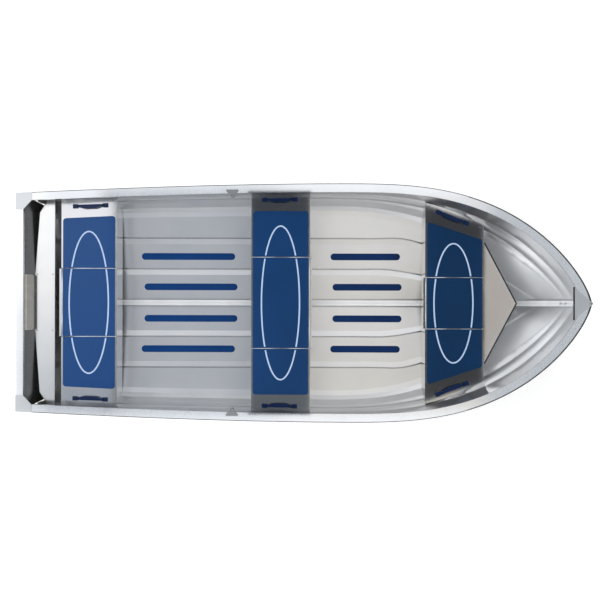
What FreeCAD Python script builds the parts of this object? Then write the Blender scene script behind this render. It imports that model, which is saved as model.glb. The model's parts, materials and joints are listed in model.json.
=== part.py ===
import FreeCAD, Part
import math
import os

# Open aluminium rowing boat, in millimetres.
# +X points to the bow, +Y to port and +Z up. Heights are measured up from the underside of
# the keel, and the finished pieces are lowered so that z = 0 is the light waterline.

V = FreeCAD.Vector

# Whole boat
overall_length = 3940.0
beam = 1661.0
half_beam = beam / 2
bow_x = overall_length / 2
stern_x = -overall_length / 2
widest_share = 0.576          # place of the greatest beam, from the stern
widest_x = stern_x + overall_length * widest_share
sheer_height = 522.0          # top of the gunwale amidships
stern_rise = 8.0              # how much the gunwale rises to the stern
bow_rise = 178.0              # how much the gunwale rises to the bow
light_draught = 85.0          # keel underside to waterline when empty
stern_taper_share = 0.0875    # loss of beam from the widest station to the stern
stern_power_share = 1.7
plan_power_share = 2.86       # fullness of the bow seen from above
plan_root_share = 0.74        # bluntness of the bow tip seen from above
closing_share = 1.12          # how an inset line closes ahead of the outer line at the tip

# Hull sheet and keel
sheet_thickness = 3.0         # pressed hull sheet
keel_width = 12.0
keel_depth = 20.0             # keel bar below the sheet
keel_inside = 22.0            # keel bar above the outside of the sheet
keelson_half = 20.5           # two flanges along the keel bar's top edge, out to this
keelson_split = 3.0           # half of the groove between them
keelson_plate = 3.0
keelson_drop = 40.0           # their top below the breasthook
forefoot_run = 1080.0         # where the keel starts to rise into the stem, back from the bow
forefoot_x = bow_x - forefoot_run
stem_power_share = 3.5
seam_gap = 0.3                # clearance between pieces that are welded or riveted together
side_flare = 140.0            # how far the gunwale stands outside the knuckle amidships
chine_half = half_beam - side_flare
chine_rise = 108.0            # height of the knuckle amidships
chine_end_share = 0.5714      # height at which the knuckle meets the stem, of the stem's head
chine_facets = 4              # flats that the chine is rolled in
chine_power_share = 2.1
chine_rise_power_share = 3.0
chine_taper_share = 0.05
bottom_setback = 95.0         # start of the chine's round, on the bottom
side_setback = 85.0           # end of the chine's round, on the side
keel_end_height = 62.0        # height at which the lowest frame line meets the stem
strake_place_shares = (0.350, 0.679)
strake_slope = 40.0           # gentle inboard face of a strake
strake_drop = 9.0             # steep outboard face
strake_height = 12.0
strake_hold_share = 0.89
swage_shares = (0.32, 0.54)   # height of the side swages between knuckle and gunwale
swage_half = 17.0
swage_crest_half = 9.0
swage_depth = 7.0
side_fullness_share = 0.023   # outward swell of the side, of the half-breadth
side_bulge_share = 0.18       # further swell towards the bow
bulge_scale_share = 6.75      # brings the swell's greatest value, low on the side, to 1
lip_clearance = 1.2           # between the hull sheet and the gunwale's outer lip
edge_clearance = 0.8          # between the hull sheet's top edge and the gunwale

# Gunwale, rub strip and stern edge
gunwale_width = 55.0
gunwale_wall = 3.0
gunwale_lip = 32.0            # outer lip
gunwale_inner_lip = 18.0
rub_depth = 6.0
rub_height = 15.0
rub_drop = 8.0                # rub strip below the gunwale's top
casting_length = 107.0
casting_arm = 60.0
casting_cap = 4.0
casting_clearance = 0.7        # between the casting and the gunwale's outer face

# Transom
transom_inset = 31.0          # outside of the transom at the gunwale's height, ahead of the stern
transom_top_x = stern_x + transom_inset
transom_rake = 16.0           # degrees
transom_plate = 4.0
rail_width = 47.0
rail_height = 34.0
rail_wall = 3.0
pad_half = 194.0
pad_thickness = 16.0
pad_lift = 50.0               # lower edge of the inner pad above the seats
pad_outer_height = 200.0
pad_outer_thickness = 5.0
pad_corner = 18.0

# Stern shelf
seat_drop = 172.0             # seats below the gunwale amidships
seat_top = sheer_height - seat_drop
shelf_reach = 224.0           # shelf's front edge, ahead of the stern
shelf_front_x = stern_x + shelf_reach
shelf_apron = 60.0
shelf_slant = 32.0            # how far the shelf's aft edge draws forward from the cover to the corner
shelf_corner = 85.0           # width of the corner cut beside the hull
shelf_corner_run = 53.0
cover_half = 209.0
cover_thickness = 2.0

# Thwarts
thwart_sheet = 3.0
thwart_bottom = 120.0         # straight lower edge of the aprons
thwart_fold = 18.0
hull_gap = 0.5                # between a thwart's edge and the hull side
aft_seat_place = 270.0        # aft edge of the aft thwart, ahead of the stern
aft_seat_length = 394.0
mid_seat_place = 352.0        # aft edge of the middle thwart, behind mid-length
mid_seat_length = 418.0
front_seat_place = 1087.0     # aft edge of the front thwart, back from the bow
front_seat_length = 416.0
aft_span = (stern_x + aft_seat_place, stern_x + aft_seat_place + aft_seat_length)
mid_span = (-mid_seat_place, mid_seat_length - mid_seat_place)
front_span = (bow_x - front_seat_place, bow_x - front_seat_place + front_seat_length)
rim_landing = 26.0            # how far the lid lies on the thwart outside the hatch

# Hatch lids: half-widths across the boat
aft_lid_half = 240.0
mid_lid_half = 322.0
front_lid_half = 181.0
lid_plate = 3.0
lid_rim = 12.0
lid_rim_wall = 2.0
lid_rim_clearance = 5.0
lid_gap = 5.0                 # free strip between the lid and the mats beside it
lid_edge = 2.0                # lid's free edge inside the thwart's edge
hinge_pin = 2.5               # radius
hinge_barrel = 5.0            # radius
hinge_fit = 0.3
hinge_drop = 6.0              # pin below the thwart's top
hinge_reach = 8.0             # pin outside the thwart's edge
hinge_barrel_length = 24.0
hinge_leaf_height = 40.0
hinge_leaf = 3.5
hinge_place_share = 0.66      # hinge's place from the centreline, of the lid's half-width

# Stowage trays
tray_depth = 170.0
tray_wall = 2.0
tray_rim = 16.0

# Mats
mat_thickness = 4.0
mat_edge = 12.0               # inside the seat's aft and fore edges
lid_mat_edge = 2.0            # inside the lid's ends
mat_corner = 22.0
aft_mat_insets = (133.0, 129.0)   # mat's outer edge, in from the hull's side, aft and fore
mid_mat_insets = (118.0, 123.0)
front_mat_insets = (137.0, 95.0)

# Grab handles
handle_length = 250.0
handle_width = 30.0
handle_foot = 34.0
handle_neck = 8.0             # the grip's half-width beside the feet
handle_neck_run = 8.0         # how far ahead of the foot the neck starts
handle_bulge = 20.0           # the grip's inboard edge, from the middle of the feet
handle_bulge_half = 40.0
handle_foot_height = 9.0
handle_height = 34.0
handle_grip = 12.0
handle_ramp = 16.0
aft_handle_inset = 52.0       # handle's middle, in from the hull's side
mid_handle_inset = 40.0
front_handle_inset = 51.0
aft_handle_shift = 10.0       # handle's middle, ahead of the thwart's middle
mid_handle_shift = -7.0
front_handle_shift = -18.0

# Bow box
box_length = 232.0
box_front_x = front_span[1] + box_length
box_inset = 116.0             # box's aft corner, in from the hull's side
box_sheet = 2.5

# Bow
breasthook_length = 114.0
breasthook_aft_x = bow_x - breasthook_length
breasthook_half = 104.0
breasthook_plate = 4.0
eye_drop = 230.0              # bow eye below the stem's head
eye_rod = 5.0
eye_reach = 42.0
eye_spread = 22.0
eye_nut = 8.0
eye_nut_gap = 0.8             # between the nuts and the curved inside of the stem

# Rowlock sockets
socket_reach = 124.0          # bore behind the middle thwart
socket_x = mid_span[0] - socket_reach
socket_inset = 75.0           # bore's centre, in from the gunwale's outer edge
socket_bore = 6.5
socket_boss = 14.0
socket_depth = 46.0
socket_plate_length = 84.0
socket_plate_width = 26.0
socket_plate = 4.0

# Floor strips
strip_width = 49.0
strip_thickness = 2.0
strip_lift = 0.8
strip_place_shares = (0.1687, 0.4924)
strip_shifts = (16.0, 0.0)    # the inner strips lie further ahead
aft_strip_gap = 133.0         # between the strips' ends and the thwarts
front_strip_gap = 153.0
strip_steps = 3
aft_strips = (aft_span[1] + aft_strip_gap, mid_span[0] - aft_strip_gap)
front_strips = (mid_span[1] + front_strip_gap, front_span[0] - front_strip_gap)

# Stations along a hull line, from the stern to its end on the stem
even_step_share = 0.05
even_steps = 15
bow_shares = (0.74, 0.78, 0.82, 0.86, 0.895, 0.925, 0.95, 0.97, 0.986, 0.995, 1.0)
station_shares = [step * even_step_share for step in range(even_steps)] + list(bow_shares)

small_share = 0.0005          # step for slopes along and across the hull's surfaces
rim_share = 0.02              # slopes at a surface's edge are taken this far inside it
last_share = 0.999            # end of the inside lines, just before the stem
stem_steps = 14
stem_fade_share = 0.10        # strakes and swages fade out over this share before the stem
stem_blend_share = 3.0        # how early the frames bend to meet the stem
keel_steady_share = 0.93      # share of the keel's seam with the bottom's own slope
search_steps = 30
half_turn = 180.0             # degrees
outline_steps = 6
overrun = 60.0                # how far the hull sheet is drawn past the transom before it is cut
seam = keel_width / 2 + seam_gap
start_x = stern_x - overrun
sheet_inset = rub_depth + gunwale_wall + lip_clearance
stem_head = sheer_height + bow_rise
eye_height = stem_head - eye_drop
chine_end_height = stem_head * chine_end_share
rake_share = math.tan(math.radians(transom_rake))
transom_run = transom_plate / math.cos(math.radians(transom_rake))


def mix(a, b, share):
    return a + (b - a) * share


def plan_half(x, full_half, end_x, power=plan_power_share, root=plan_root_share,
              taper=stern_taper_share):
    """Half-breadth of a level line that is widest at widest_x and closes at end_x."""
    if x < widest_x:
        back = (widest_x - x) / (widest_x - stern_x)
        return full_half * (1 - taper * back ** stern_power_share)
    ahead = min(1.0, (x - widest_x) / (end_x - widest_x))
    return full_half * (1 - ahead ** power) ** root


def sheer_top(x):
    """Height of the gunwale's top."""
    if x < widest_x:
        return sheer_height + stern_rise * ((widest_x - x) / (widest_x - stern_x)) ** 2
    return sheer_height + bow_rise * ((x - widest_x) / (bow_x - widest_x)) ** 2


def keel_line(x):
    """Height of the hull sheet's outside at the centreline, up the stem as well."""
    if x < forefoot_x:
        return keel_depth
    rise = ((x - forefoot_x) / (bow_x - forefoot_x)) ** stem_power_share
    return keel_depth + (stem_head - keel_depth) * rise


def stem_x(z):
    """Station at which the stem's line has height z."""
    rise = (z - keel_depth) / (stem_head - keel_depth)
    return forefoot_x + (bow_x - forefoot_x) * rise ** (1 / stem_power_share)


chine_end_x = stem_x(chine_end_height)
keel_end_x = stem_x(keel_end_height)


def edge_point(share, inset, drop):
    """Point on a line that follows the boat's outer edge, inset and dropped from it."""
    end_x = bow_x - closing_share * inset
    x = mix(start_x, end_x, share)
    y = seam + plan_half(x, half_beam - inset - seam, end_x)
    return V(x, y, sheer_top(x) - drop)


def edge_y(x, inset):
    """Half-breadth of the boat's outer edge at a station, inset towards the centreline."""
    return seam + plan_half(x, half_beam - inset - seam, bow_x - closing_share * inset)


def keel_point(share):
    x = mix(start_x, keel_end_x, share)
    return V(x, seam, keel_line(x))


def knuckle_point(share):
    x = mix(start_x, chine_end_x, share)
    y = seam + plan_half(x, chine_half - seam, chine_end_x, chine_power_share, 1.0, chine_taper_share)
    ahead = max(0.0, (x - widest_x) / (chine_end_x - widest_x))
    rise = (chine_end_height - chine_rise) * ahead ** chine_rise_power_share
    return V(x, y, chine_rise + rise)


def sheer_point(share):
    return edge_point(share, sheet_inset, gunwale_wall + edge_clearance)


def ruled_point(share, across, low_line, high_line):
    """Point between two hull lines, bent so that the sheet ends on the stem's curve."""
    point = mix(low_line(share), high_line(share), across)
    end = mix(low_line(1.0), high_line(1.0), across)
    ahead = max(0.0, (point.x - forefoot_x) / (end.x - forefoot_x))
    return point + V(0, 0, (keel_line(end.x) - end.z) * ahead ** stem_blend_share)


def bottom_point(share, across):
    """Point of the bottom's outside, across from 0 at the keel to 1 at the knuckle."""
    return ruled_point(share, across, keel_point, knuckle_point)


def side_point(share, across):
    """Point of the side's outside, across from 0 at the knuckle to 1 at the gunwale."""
    point = ruled_point(share, across, knuckle_point, sheer_point)
    ahead = max(0.0, (point.x - widest_x) / (bow_x - widest_x))
    fullness = side_fullness_share * (1 - ahead) ** 3 + side_bulge_share * ahead ** 2
    swell = fullness * bulge_scale_share * across * (1 - across) ** 2
    return point + V(0, (point.y - seam) * swell, 0)


def bottom_width(share):
    return (knuckle_point(share) - keel_point(share)).Length


def side_width(share):
    return (sheer_point(share) - knuckle_point(share)).Length


def strake_across(share, place):
    """Strakes run parallel to the keel, and are drawn in with the knuckle towards the stem."""
    return place / max(strake_hold_share, knuckle_point(share).y / chine_half)


def bottom_end_across(share):
    return 1 - bottom_setback / bottom_width(share)


def side_start_across(share):
    return side_setback / side_width(share)


def inward_normal(surface, share, across):
    """Unit normal of a hull surface, towards the inside of the boat."""
    before = max(0.0, share - small_share)
    after = min(1.0, share + small_share)
    along = surface(after, across) - surface(before, across)
    up = surface(share, min(1.0, across + small_share)) - surface(share, max(0.0, across - small_share))
    return along.cross(up).normalize()


def slid_to_end(point, share, line):
    """At a line's ends, slides the point along it to the first station or the keel's side."""
    if share <= 0.0:
        run = line(small_share) - line(0.0)
        return point + run * ((start_x - point.x) / run.x)
    if share >= 1.0:
        run = line(1.0) - line(1.0 - small_share)
        return point + run * ((seam - point.y) / run.y)
    return point


def inner_point(surface, share, across, depth):
    """Point at a depth inside the outer surface."""
    normal = inward_normal(surface, share, min(1 - rim_share, max(rim_share, across)))
    point = surface(share, across) + normal * depth
    return slid_to_end(point, share, lambda s: surface(s, across))


def keel_inner(share, depth):
    """Point above the keel line, on the keel's side face."""
    normal = inward_normal(bottom_point, min(share, keel_steady_share), small_share * 2)
    return keel_point(share) + V(0, 0, depth / normal.z)


def knuckle_inner(share, depth):
    low = inward_normal(bottom_point, share, 1 - rim_share)
    high = inward_normal(side_point, share, rim_share)
    point = knuckle_point(share) + (low + high) * (depth / (1 + low.dot(high)))
    return slid_to_end(point, share, knuckle_point)


def press_fade(share):
    """Strakes and swages run out flat just before the stem."""
    return min(1.0, (1.0 - share) / stem_fade_share)


def bottom_lines(share):
    """Lines of the bottom at a station: place across, and how far each is pressed inwards."""
    lines = []
    for place in strake_place_shares:
        for offset, press in ((-strake_slope, 0.0), (0.0, strake_height), (strake_drop, 0.0)):
            across = strake_across(share, place + offset / chine_half)
            lines.append((across, press * press_fade(share)))
    lines.append((bottom_end_across(share), 0.0))
    return lines


def side_lines(share):
    """Lines of the side at a station: place across, and how far each is pressed inwards."""
    width = side_width(share)
    lines = [(side_start_across(share) + seam_gap / width, 0.0)]
    for middle in swage_shares:
        for offset, press in ((-swage_half, 0.0), (-swage_crest_half, -swage_depth),
                              (swage_crest_half, -swage_depth), (swage_half, 0.0)):
            lines.append((middle + offset / width, press * press_fade(share)))
    return lines


def bottom_section(share, depth):
    """Points of the bottom at a station and depth, from the keel to the start of the round."""
    first = keel_inner(share, depth) if depth else keel_point(share)
    return [first] + [inner_point(bottom_point, share, across, press + depth)
                      for across, press in bottom_lines(share)]


def chine_round(share, depth):
    """Points round the chine at a station and depth, from the bottom to the side."""
    low = inner_point(bottom_point, share, bottom_end_across(share), depth)
    middle = knuckle_inner(share, depth) if depth else knuckle_point(share)
    high = inner_point(side_point, share, side_start_across(share), depth)
    points = []
    for step in range(chine_facets + 1):
        part = step / chine_facets
        points.append(mix(mix(low, middle, part), mix(middle, high, part), part))
    return points


def level_edge(share, depth):
    """Point on the sheet's top edge, which is cut level under the gunwale."""
    normal = inward_normal(side_point, share, 1 - rim_share)
    level = V(normal.x, normal.y, 0)
    point = sheer_point(share) + level * (depth / level.dot(level))
    point = slid_to_end(point, share, sheer_point)
    return V(point.x, point.y, sheer_top(point.x) - gunwale_wall - edge_clearance)


def side_section(share, depth):
    """Points of the side at a station and depth, from the chine's round to the gunwale."""
    points = [inner_point(side_point, share, across, press + depth)
              for across, press in side_lines(share)]
    return points + [level_edge(share, depth)]


def segment(a, b):
    return Part.LineSegment(a, b).toShape()


def chain(points):
    return [segment(a, b) for a, b in zip(points, points[1:])]


def loft(wires):
    """Solid through closed sections, with a flat face at each end."""
    skin = Part.makeLoft(wires, False, False)
    shell = Part.Shell(skin.Faces + [Part.Face(wires[0]), Part.Face(wires[-1])])
    shell.sewShape()
    solid = Part.Solid(shell)
    return solid if solid.Volume > 0 else solid.reversed()


def bottom_wire(share):
    outer = bottom_section(share, 0.0) + chine_round(share, 0.0)[1:]
    inner = bottom_section(share, sheet_thickness) + chine_round(share, sheet_thickness)[1:]
    return Part.Wire(chain(outer + inner[::-1] + [outer[0]]))


def side_wire(share):
    outer = side_section(share, 0.0)
    inner = side_section(share, sheet_thickness)
    return Part.Wire(chain(outer + inner[::-1] + [outer[0]]))


def mirrored(shape):
    return shape.mirror(V(0, 0, 0), V(0, 1, 0))


def block(x0, x1, y0, y1, z0, z1):
    return Part.makeBox(x1 - x0, y1 - y0, z1 - z0, V(x0, y0, z0))


def prism(points, direction):
    """Solid drawn out from the outline through the points."""
    outline = Part.makePolygon(points + [points[0]])
    return Part.Face(outline).extrude(direction)


def transom_x(z):
    """Outside of the transom plate at height z."""
    return transom_top_x + (sheer_height - z) * rake_share


def ahead_of_transom(shape, gap=0.0):
    """Part of a shape that lies ahead of the transom's inside face."""
    low = -overrun
    high = sheer_height + overrun
    offset = transom_run + gap
    points = [V(transom_x(low) + offset, -beam, low), V(transom_x(high) + offset, -beam, high),
              V(bow_x + beam, -beam, high + bow_rise), V(bow_x + beam, -beam, low)]
    return shape.common(prism(points, V(0, beam * 2, 0)))


def at_station(line, x):
    """Share of a line at which it passes station x."""
    low = 0.0
    high = 1.0
    for _ in range(search_steps):
        middle = (low + high) / 2
        if line(middle).x < x:
            low = middle
        else:
            high = middle
    return (low + high) / 2


def inside_lines():
    """Lines of the hull's inside without strakes and swages, from keel to gunwale."""
    lines = [lambda s: keel_inner(s, sheet_thickness)]
    for part in (0.25, 0.5, 0.75, 1.0):
        lines.append(lambda s, p=part: inner_point(bottom_point, min(s, last_share),
                                                   bottom_end_across(s) * p, sheet_thickness))
    lines.append(lambda s: chine_round(min(s, last_share), sheet_thickness)[chine_facets // 2])
    for part in (0.0, 0.25, 0.5, 0.75, 1.0):
        lines.append(lambda s, p=part: inner_point(side_point, min(s, last_share),
                                                   mix(side_start_across(s), 1.0, p), sheet_thickness))
    return lines


def inside_section(x):
    """Points of the hull's inside at a station, from keel to gunwale."""
    points = []
    for line in inside_lines():
        point = line(at_station(line, x))
        if abs(point.x - x) < seam_gap:
            points.append(point)
    return [V(x, seam, keel_line(x) + sheet_thickness)] + points[1:] if points else points


def hull_half(x, z):
    """Inside half-breadth of the hull at a station and height."""
    points = inside_section(x)
    for low, high in zip(points, points[1:]):
        if low.z <= z <= high.z:
            return mix(low.y, high.y, (z - low.z) / (high.z - low.z))
    return points[-1].y


def floor_height(x, y):
    """Height of the hull's inside at a station and distance from the centreline."""
    points = inside_section(x)
    for low, high in zip(points, points[1:]):
        if low.y <= y <= high.y:
            return mix(low.z, high.z, (y - low.y) / (high.y - low.y))
    return points[0].z


def in_lengths(whole, seam_places):
    """A long piece as shorter lengths that meet at seams across the boat."""
    for x in seam_places:
        whole = whole.cut(block(x, x + seam_gap, 0, beam, 0, stem_head))
    return whole


def under_seats():
    """Places of the hull's seams, under the middle of the middle and front thwarts."""
    return [sum(span) / len(span) for span in (mid_span, front_span)]


def hull_bottom():
    """Bottom sheet of one side, in three lengths."""
    return in_lengths(ahead_of_transom(loft([bottom_wire(share) for share in station_shares])), under_seats())


def hull_side():
    """Side sheet, in three lengths."""
    return in_lengths(ahead_of_transom(loft([side_wire(share) for share in station_shares])), under_seats())


def stem_line(aft, depth):
    """Points at a depth inside the keel's line, from an aft station to the stem's top."""
    top = sheer_top(bow_x - keel_inside * 2) - gunwale_wall - seam_gap
    low = keel_depth + depth
    points = [V(aft, 0, low), V(forefoot_x, 0, low)]
    for step in range(1, stem_steps + 1):
        z = mix(keel_depth, top, (step / stem_steps) ** 2)
        x = stem_x(z)
        slope = V(1, 0, (keel_line(x) - keel_line(x - keel_width)) / keel_width)
        out = V(slope.z, 0, -1).normalize()
        points.append(V(x, 0, z) - out * depth)
    points[-1] = V(points[-1].x, 0, min(points[-1].z, top))
    return points


def stem_piece(outer, inner, y0, y1):
    """Solid between two lines along the keel and the stem, less the bow eye's holes."""
    edges = [segment(outer[0], outer[1]), segment(outer[-1], inner[-1]), segment(inner[1], inner[0]),
             segment(inner[0], outer[0])]
    for line in (outer, inner):
        curve = Part.BSplineCurve()
        curve.interpolate(line[1:])
        edges.append(curve.toShape())
    wire = Part.Wire(Part.__sortEdges__(edges))
    wire.translate(V(0, y0, 0))
    piece = Part.Face(wire).extrude(V(0, y1 - y0, 0))
    centre, up, out = eye_frame()
    for side in (-1, 1):
        start = centre + up * (eye_spread * side) - out * keel_width * 4
        piece = piece.cut(Part.makeCylinder(eye_rod + seam_gap, keel_width * 8, start, out))
    return piece


def keel_bar():
    """Keel that sweeps up as the stem, one flat bar set on edge."""
    outer = stem_line(transom_x(0) + transom_run, -keel_depth * 0.5)
    outer[0] = V(outer[0].x, 0, 0)
    outer[1] = V(forefoot_x, 0, 0)
    inner = stem_line(transom_x(keel_depth + keel_inside) + transom_plate * 2, keel_inside)
    return stem_piece(outer, inner, -keel_width / 2, keel_width / 2)


def keelson():
    """Two flanges along the inner edge of the keel and the stem."""
    aft = transom_x(keel_depth + keel_inside) + transom_plate * 2
    low = stem_line(aft, keel_inside + seam_gap)
    high = stem_line(aft, keel_inside + seam_gap + keelson_plate)
    top = sheer_top(breasthook_aft_x) - keelson_drop
    keep = block(stern_x, bow_x, 0, keelson_half, 0, top)
    port = stem_piece(low, high, keelson_split, keelson_half).common(keep)
    return Part.makeCompound([port, mirrored(port)])


def edge_wire(corners, share):
    points = [edge_point(share, inset, drop) for inset, drop in corners]
    return Part.Wire(chain(points + [points[0]]))


def gunwale():
    """Hooked extrusion over the top edge of the hull sheet, in two lengths that meet under the rowlock."""
    outer = rub_depth
    inner = rub_depth + gunwale_width
    wall = gunwale_wall
    corners = ((outer, gunwale_lip), (outer + wall, gunwale_lip), (outer + wall, wall),
               (inner - wall, wall), (inner - wall, gunwale_inner_lip), (inner, gunwale_inner_lip),
               (inner, 0.0), (outer, 0.0))
    whole = ahead_of_transom(loft([edge_wire(corners, share) for share in station_shares]))
    return in_lengths(whole, [socket_x])


def rub_strip():
    outer = rub_depth - seam_gap
    corners = ((outer, rub_drop), (0.0, rub_drop + outer / 2), (0.0, rub_drop + rub_height - outer / 2),
               (outer, rub_drop + rub_height))
    strip = loft([edge_wire(corners, share) for share in station_shares])
    aft_end = stern_x + casting_length + seam_gap
    return strip.common(block(aft_end, bow_x, 0, beam, 0, stem_head))


def transom_point(line):
    """Where a hull line meets the transom's inside face."""
    x = transom_x(keel_depth)
    for _ in range(search_steps):
        point = line(at_station(line, x))
        x = transom_x(point.z) + transom_run
    return V(x, point.y, point.z)


def transom():
    """Raked stern plate with the outline of the hull behind its sheet."""
    bottom = transom_point(keel_point)
    port = [V(bottom.x, 0, bottom.z)]
    for step in range(chine_facets + 1):
        port.append(transom_point(lambda s, i=step: chine_round(s, 0.0)[i]))
    port.append(transom_point(sheer_point))
    outline = port + [V(point.x, -point.y, point.z) for point in port[:0:-1]]
    plate = Part.Face(Part.makePolygon(outline + [outline[0]]))
    slant = V(-math.cos(math.radians(transom_rake)), 0, -math.sin(math.radians(transom_rake)))
    return plate.extrude(slant * transom_plate)


def raked_block(half, top, bottom, depth, ahead, corner):
    """Plate on the transom, ahead of its plate or behind it, with rounded corners."""
    shift = transom_run + seam_gap if ahead else -seam_gap
    run = depth / math.cos(math.radians(transom_rake))
    x0 = shift
    x1 = shift + run if ahead else shift - run
    points = [V(transom_x(top) + x0, -half, top), V(transom_x(top) + x1, -half, top),
              V(transom_x(bottom) + x1, -half, bottom), V(transom_x(bottom) + x0, -half, bottom)]
    solid = prism(points, V(0, half * 2, 0))
    rounded = [edge for edge in solid.Edges if abs(edge.tangentAt(edge.FirstParameter).x) > 0.9
               and edge.BoundBox.ZMin < bottom + corner]
    return solid.makeFillet(corner, rounded)


def transom_rail():
    """Capping channel along the top of the transom, between the gunwales."""
    half = edge_y(stern_x, rub_depth + gunwale_width) - seam_gap
    top = sheer_top(stern_x)
    outer = block(stern_x, stern_x + rail_width, -half, half, top - rail_height, top)
    inner = block(stern_x + rail_wall, stern_x + rail_width - rail_wall, -half, half,
                  top - rail_height, top - rail_wall)
    return outer.cut(inner)


def corner_casting():
    """Cast cap over the meeting of the gunwale and the transom rail."""
    low = sheer_top(stern_x) + seam_gap
    under = low - rail_height
    aft = stern_x - seam_gap
    front = stern_x + casting_length
    outer = rub_depth - casting_clearance
    skin = outer - casting_cap
    inner = rub_depth + gunwale_width
    arm_y = edge_y(stern_x, inner) - casting_arm
    cap = prism([V(aft - casting_cap, arm_y, low), V(aft - casting_cap, edge_y(aft, skin), low),
                 V(front, edge_y(front, skin), low), V(front, edge_y(front, inner), low),
                 V(stern_x + rail_width, arm_y, low)], V(0, 0, casting_cap))
    side = prism([V(aft - casting_cap, edge_y(aft, outer), under), V(aft - casting_cap, edge_y(aft, skin), under),
                  V(front, edge_y(front, skin), under), V(front, edge_y(front, outer), under)],
                 V(0, 0, low + casting_cap - under))
    back = block(aft - casting_cap, aft, arm_y, edge_y(aft, skin), under, low + casting_cap)
    return cap.fuse([side, back]).removeSplitter()


def breasthook():
    """Triangular plate over the meeting of the gunwales."""
    tip_x = bow_x - rub_depth
    low = sheer_top(breasthook_aft_x) + seam_gap
    high = sheer_top(tip_x) + seam_gap
    points = [V(breasthook_aft_x, breasthook_half, low), V(breasthook_aft_x, -breasthook_half, low),
              V(tip_x, -keel_width, high), V(tip_x, keel_width, high)]
    return prism(points, V(0, 0, breasthook_plate))


def eye_frame():
    """Centre of the bow eye on the stem, with the directions along the stem and outwards."""
    x = stem_x(eye_height)
    slope = (keel_line(x + keel_width) - keel_line(x)) / keel_width
    up = V(1, 0, slope).normalize()
    return V(x, 0, eye_height), up, V(up.z, 0, -up.x)


def bow_eye():
    """U-bolt through the stem, a ring outside and its nuts inside."""
    centre, up, out = eye_frame()
    bend = eye_spread
    inside = keel_inside + seam_gap + keelson_plate + eye_nut_gap
    leg = inside + eye_nut
    end = Part.Face(Part.Wire(Part.makeCircle(eye_rod, centre + out * eye_reach + up * bend, out)))
    ring = end.revolve(centre + out * eye_reach, V(0, 1, 0), half_turn)
    pieces = []
    for side in (-1, 1):
        start = centre - out * leg + up * (bend * side)
        pieces.append(Part.makeCylinder(eye_rod, leg + eye_reach, start, out))
        base = centre - out * inside + up * (bend * side)
        pieces.append(Part.makeCylinder(eye_nut, eye_nut, base, out * -1))
    return ring.fuse(pieces)


def seat_outline(span, gap):
    """Plan outline of a sheet at seat height, its ends following the hull side."""
    z = seat_top
    port = []
    for step in range(outline_steps + 1):
        x = mix(span[0], span[1], step / outline_steps)
        port.append(V(x, hull_half(x, z - thwart_sheet) - gap, z))
    return port + [V(point.x, -point.y, z) for point in port[::-1]]


def apron(x, depth, low):
    """Cross plate of a thwart, from just under its top to a straight lower edge."""
    narrow = min(x, x + depth, key=lambda place: hull_half(place, seat_top))
    port = []
    for step in range(outline_steps + 1):
        z = mix(low, seat_top - thwart_sheet, step / outline_steps)
        port.append(V(x, hull_half(narrow, z) - hull_gap, z))
    return prism(port + [V(x, -point.y, point.z) for point in port[::-1]], V(depth, 0, 0))


def apron_low(x):
    """Height of an apron's lower edge, which rises with the chine."""
    return thwart_bottom + knuckle_point(at_station(knuckle_point, x)).z - chine_rise


def hatch_half(lid_half):
    return lid_half - rim_landing


def hatch_span(span):
    return (span[0] + rim_landing, span[1] - rim_landing)


def return_fold(x0, x1, low, edge_x):
    half = hull_half(edge_x, low) - thwart_fold
    return block(x0, x1, -half, half, low, low + thwart_sheet)


def thwart(span, lid_half):
    """Folded sheet box: top with a hatch, two aprons and a return fold at their lower edge."""
    top = prism(seat_outline(span, hull_gap), V(0, 0, -thwart_sheet))
    aft_low = apron_low(span[0])
    front_low = apron_low(span[1])
    aft = apron(span[0], thwart_sheet, aft_low)
    front = apron(span[1] - thwart_sheet, thwart_sheet, front_low)
    folds = [return_fold(span[0], span[0] + thwart_fold, aft_low, span[0]),
             return_fold(span[1] - thwart_fold, span[1], front_low, span[1])]
    open_x = hatch_span(span)
    open_y = hatch_half(lid_half)
    hatch = block(open_x[0], open_x[1], -open_y, open_y, seat_top - thwart_sheet, seat_top)
    return top.fuse([aft, front] + folds).cut(hatch).removeSplitter()


def tray(span, lid_half):
    """Stowage tray hung under the hatch by its rim."""
    x0, x1 = hatch_span(span)
    y1 = hatch_half(lid_half)
    top = seat_top - thwart_sheet
    wall = tray_wall
    rim = block(x0 - tray_rim, x1 + tray_rim, -y1 - tray_rim, y1 + tray_rim, top - wall, top)
    body = block(x0, x1, -y1, y1, top - tray_depth, top)
    hole = block(x0 + wall, x1 - wall, -y1 + wall, y1 - wall, top - tray_depth + wall, top)
    return rim.fuse(body).cut(hole).removeSplitter()


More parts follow.
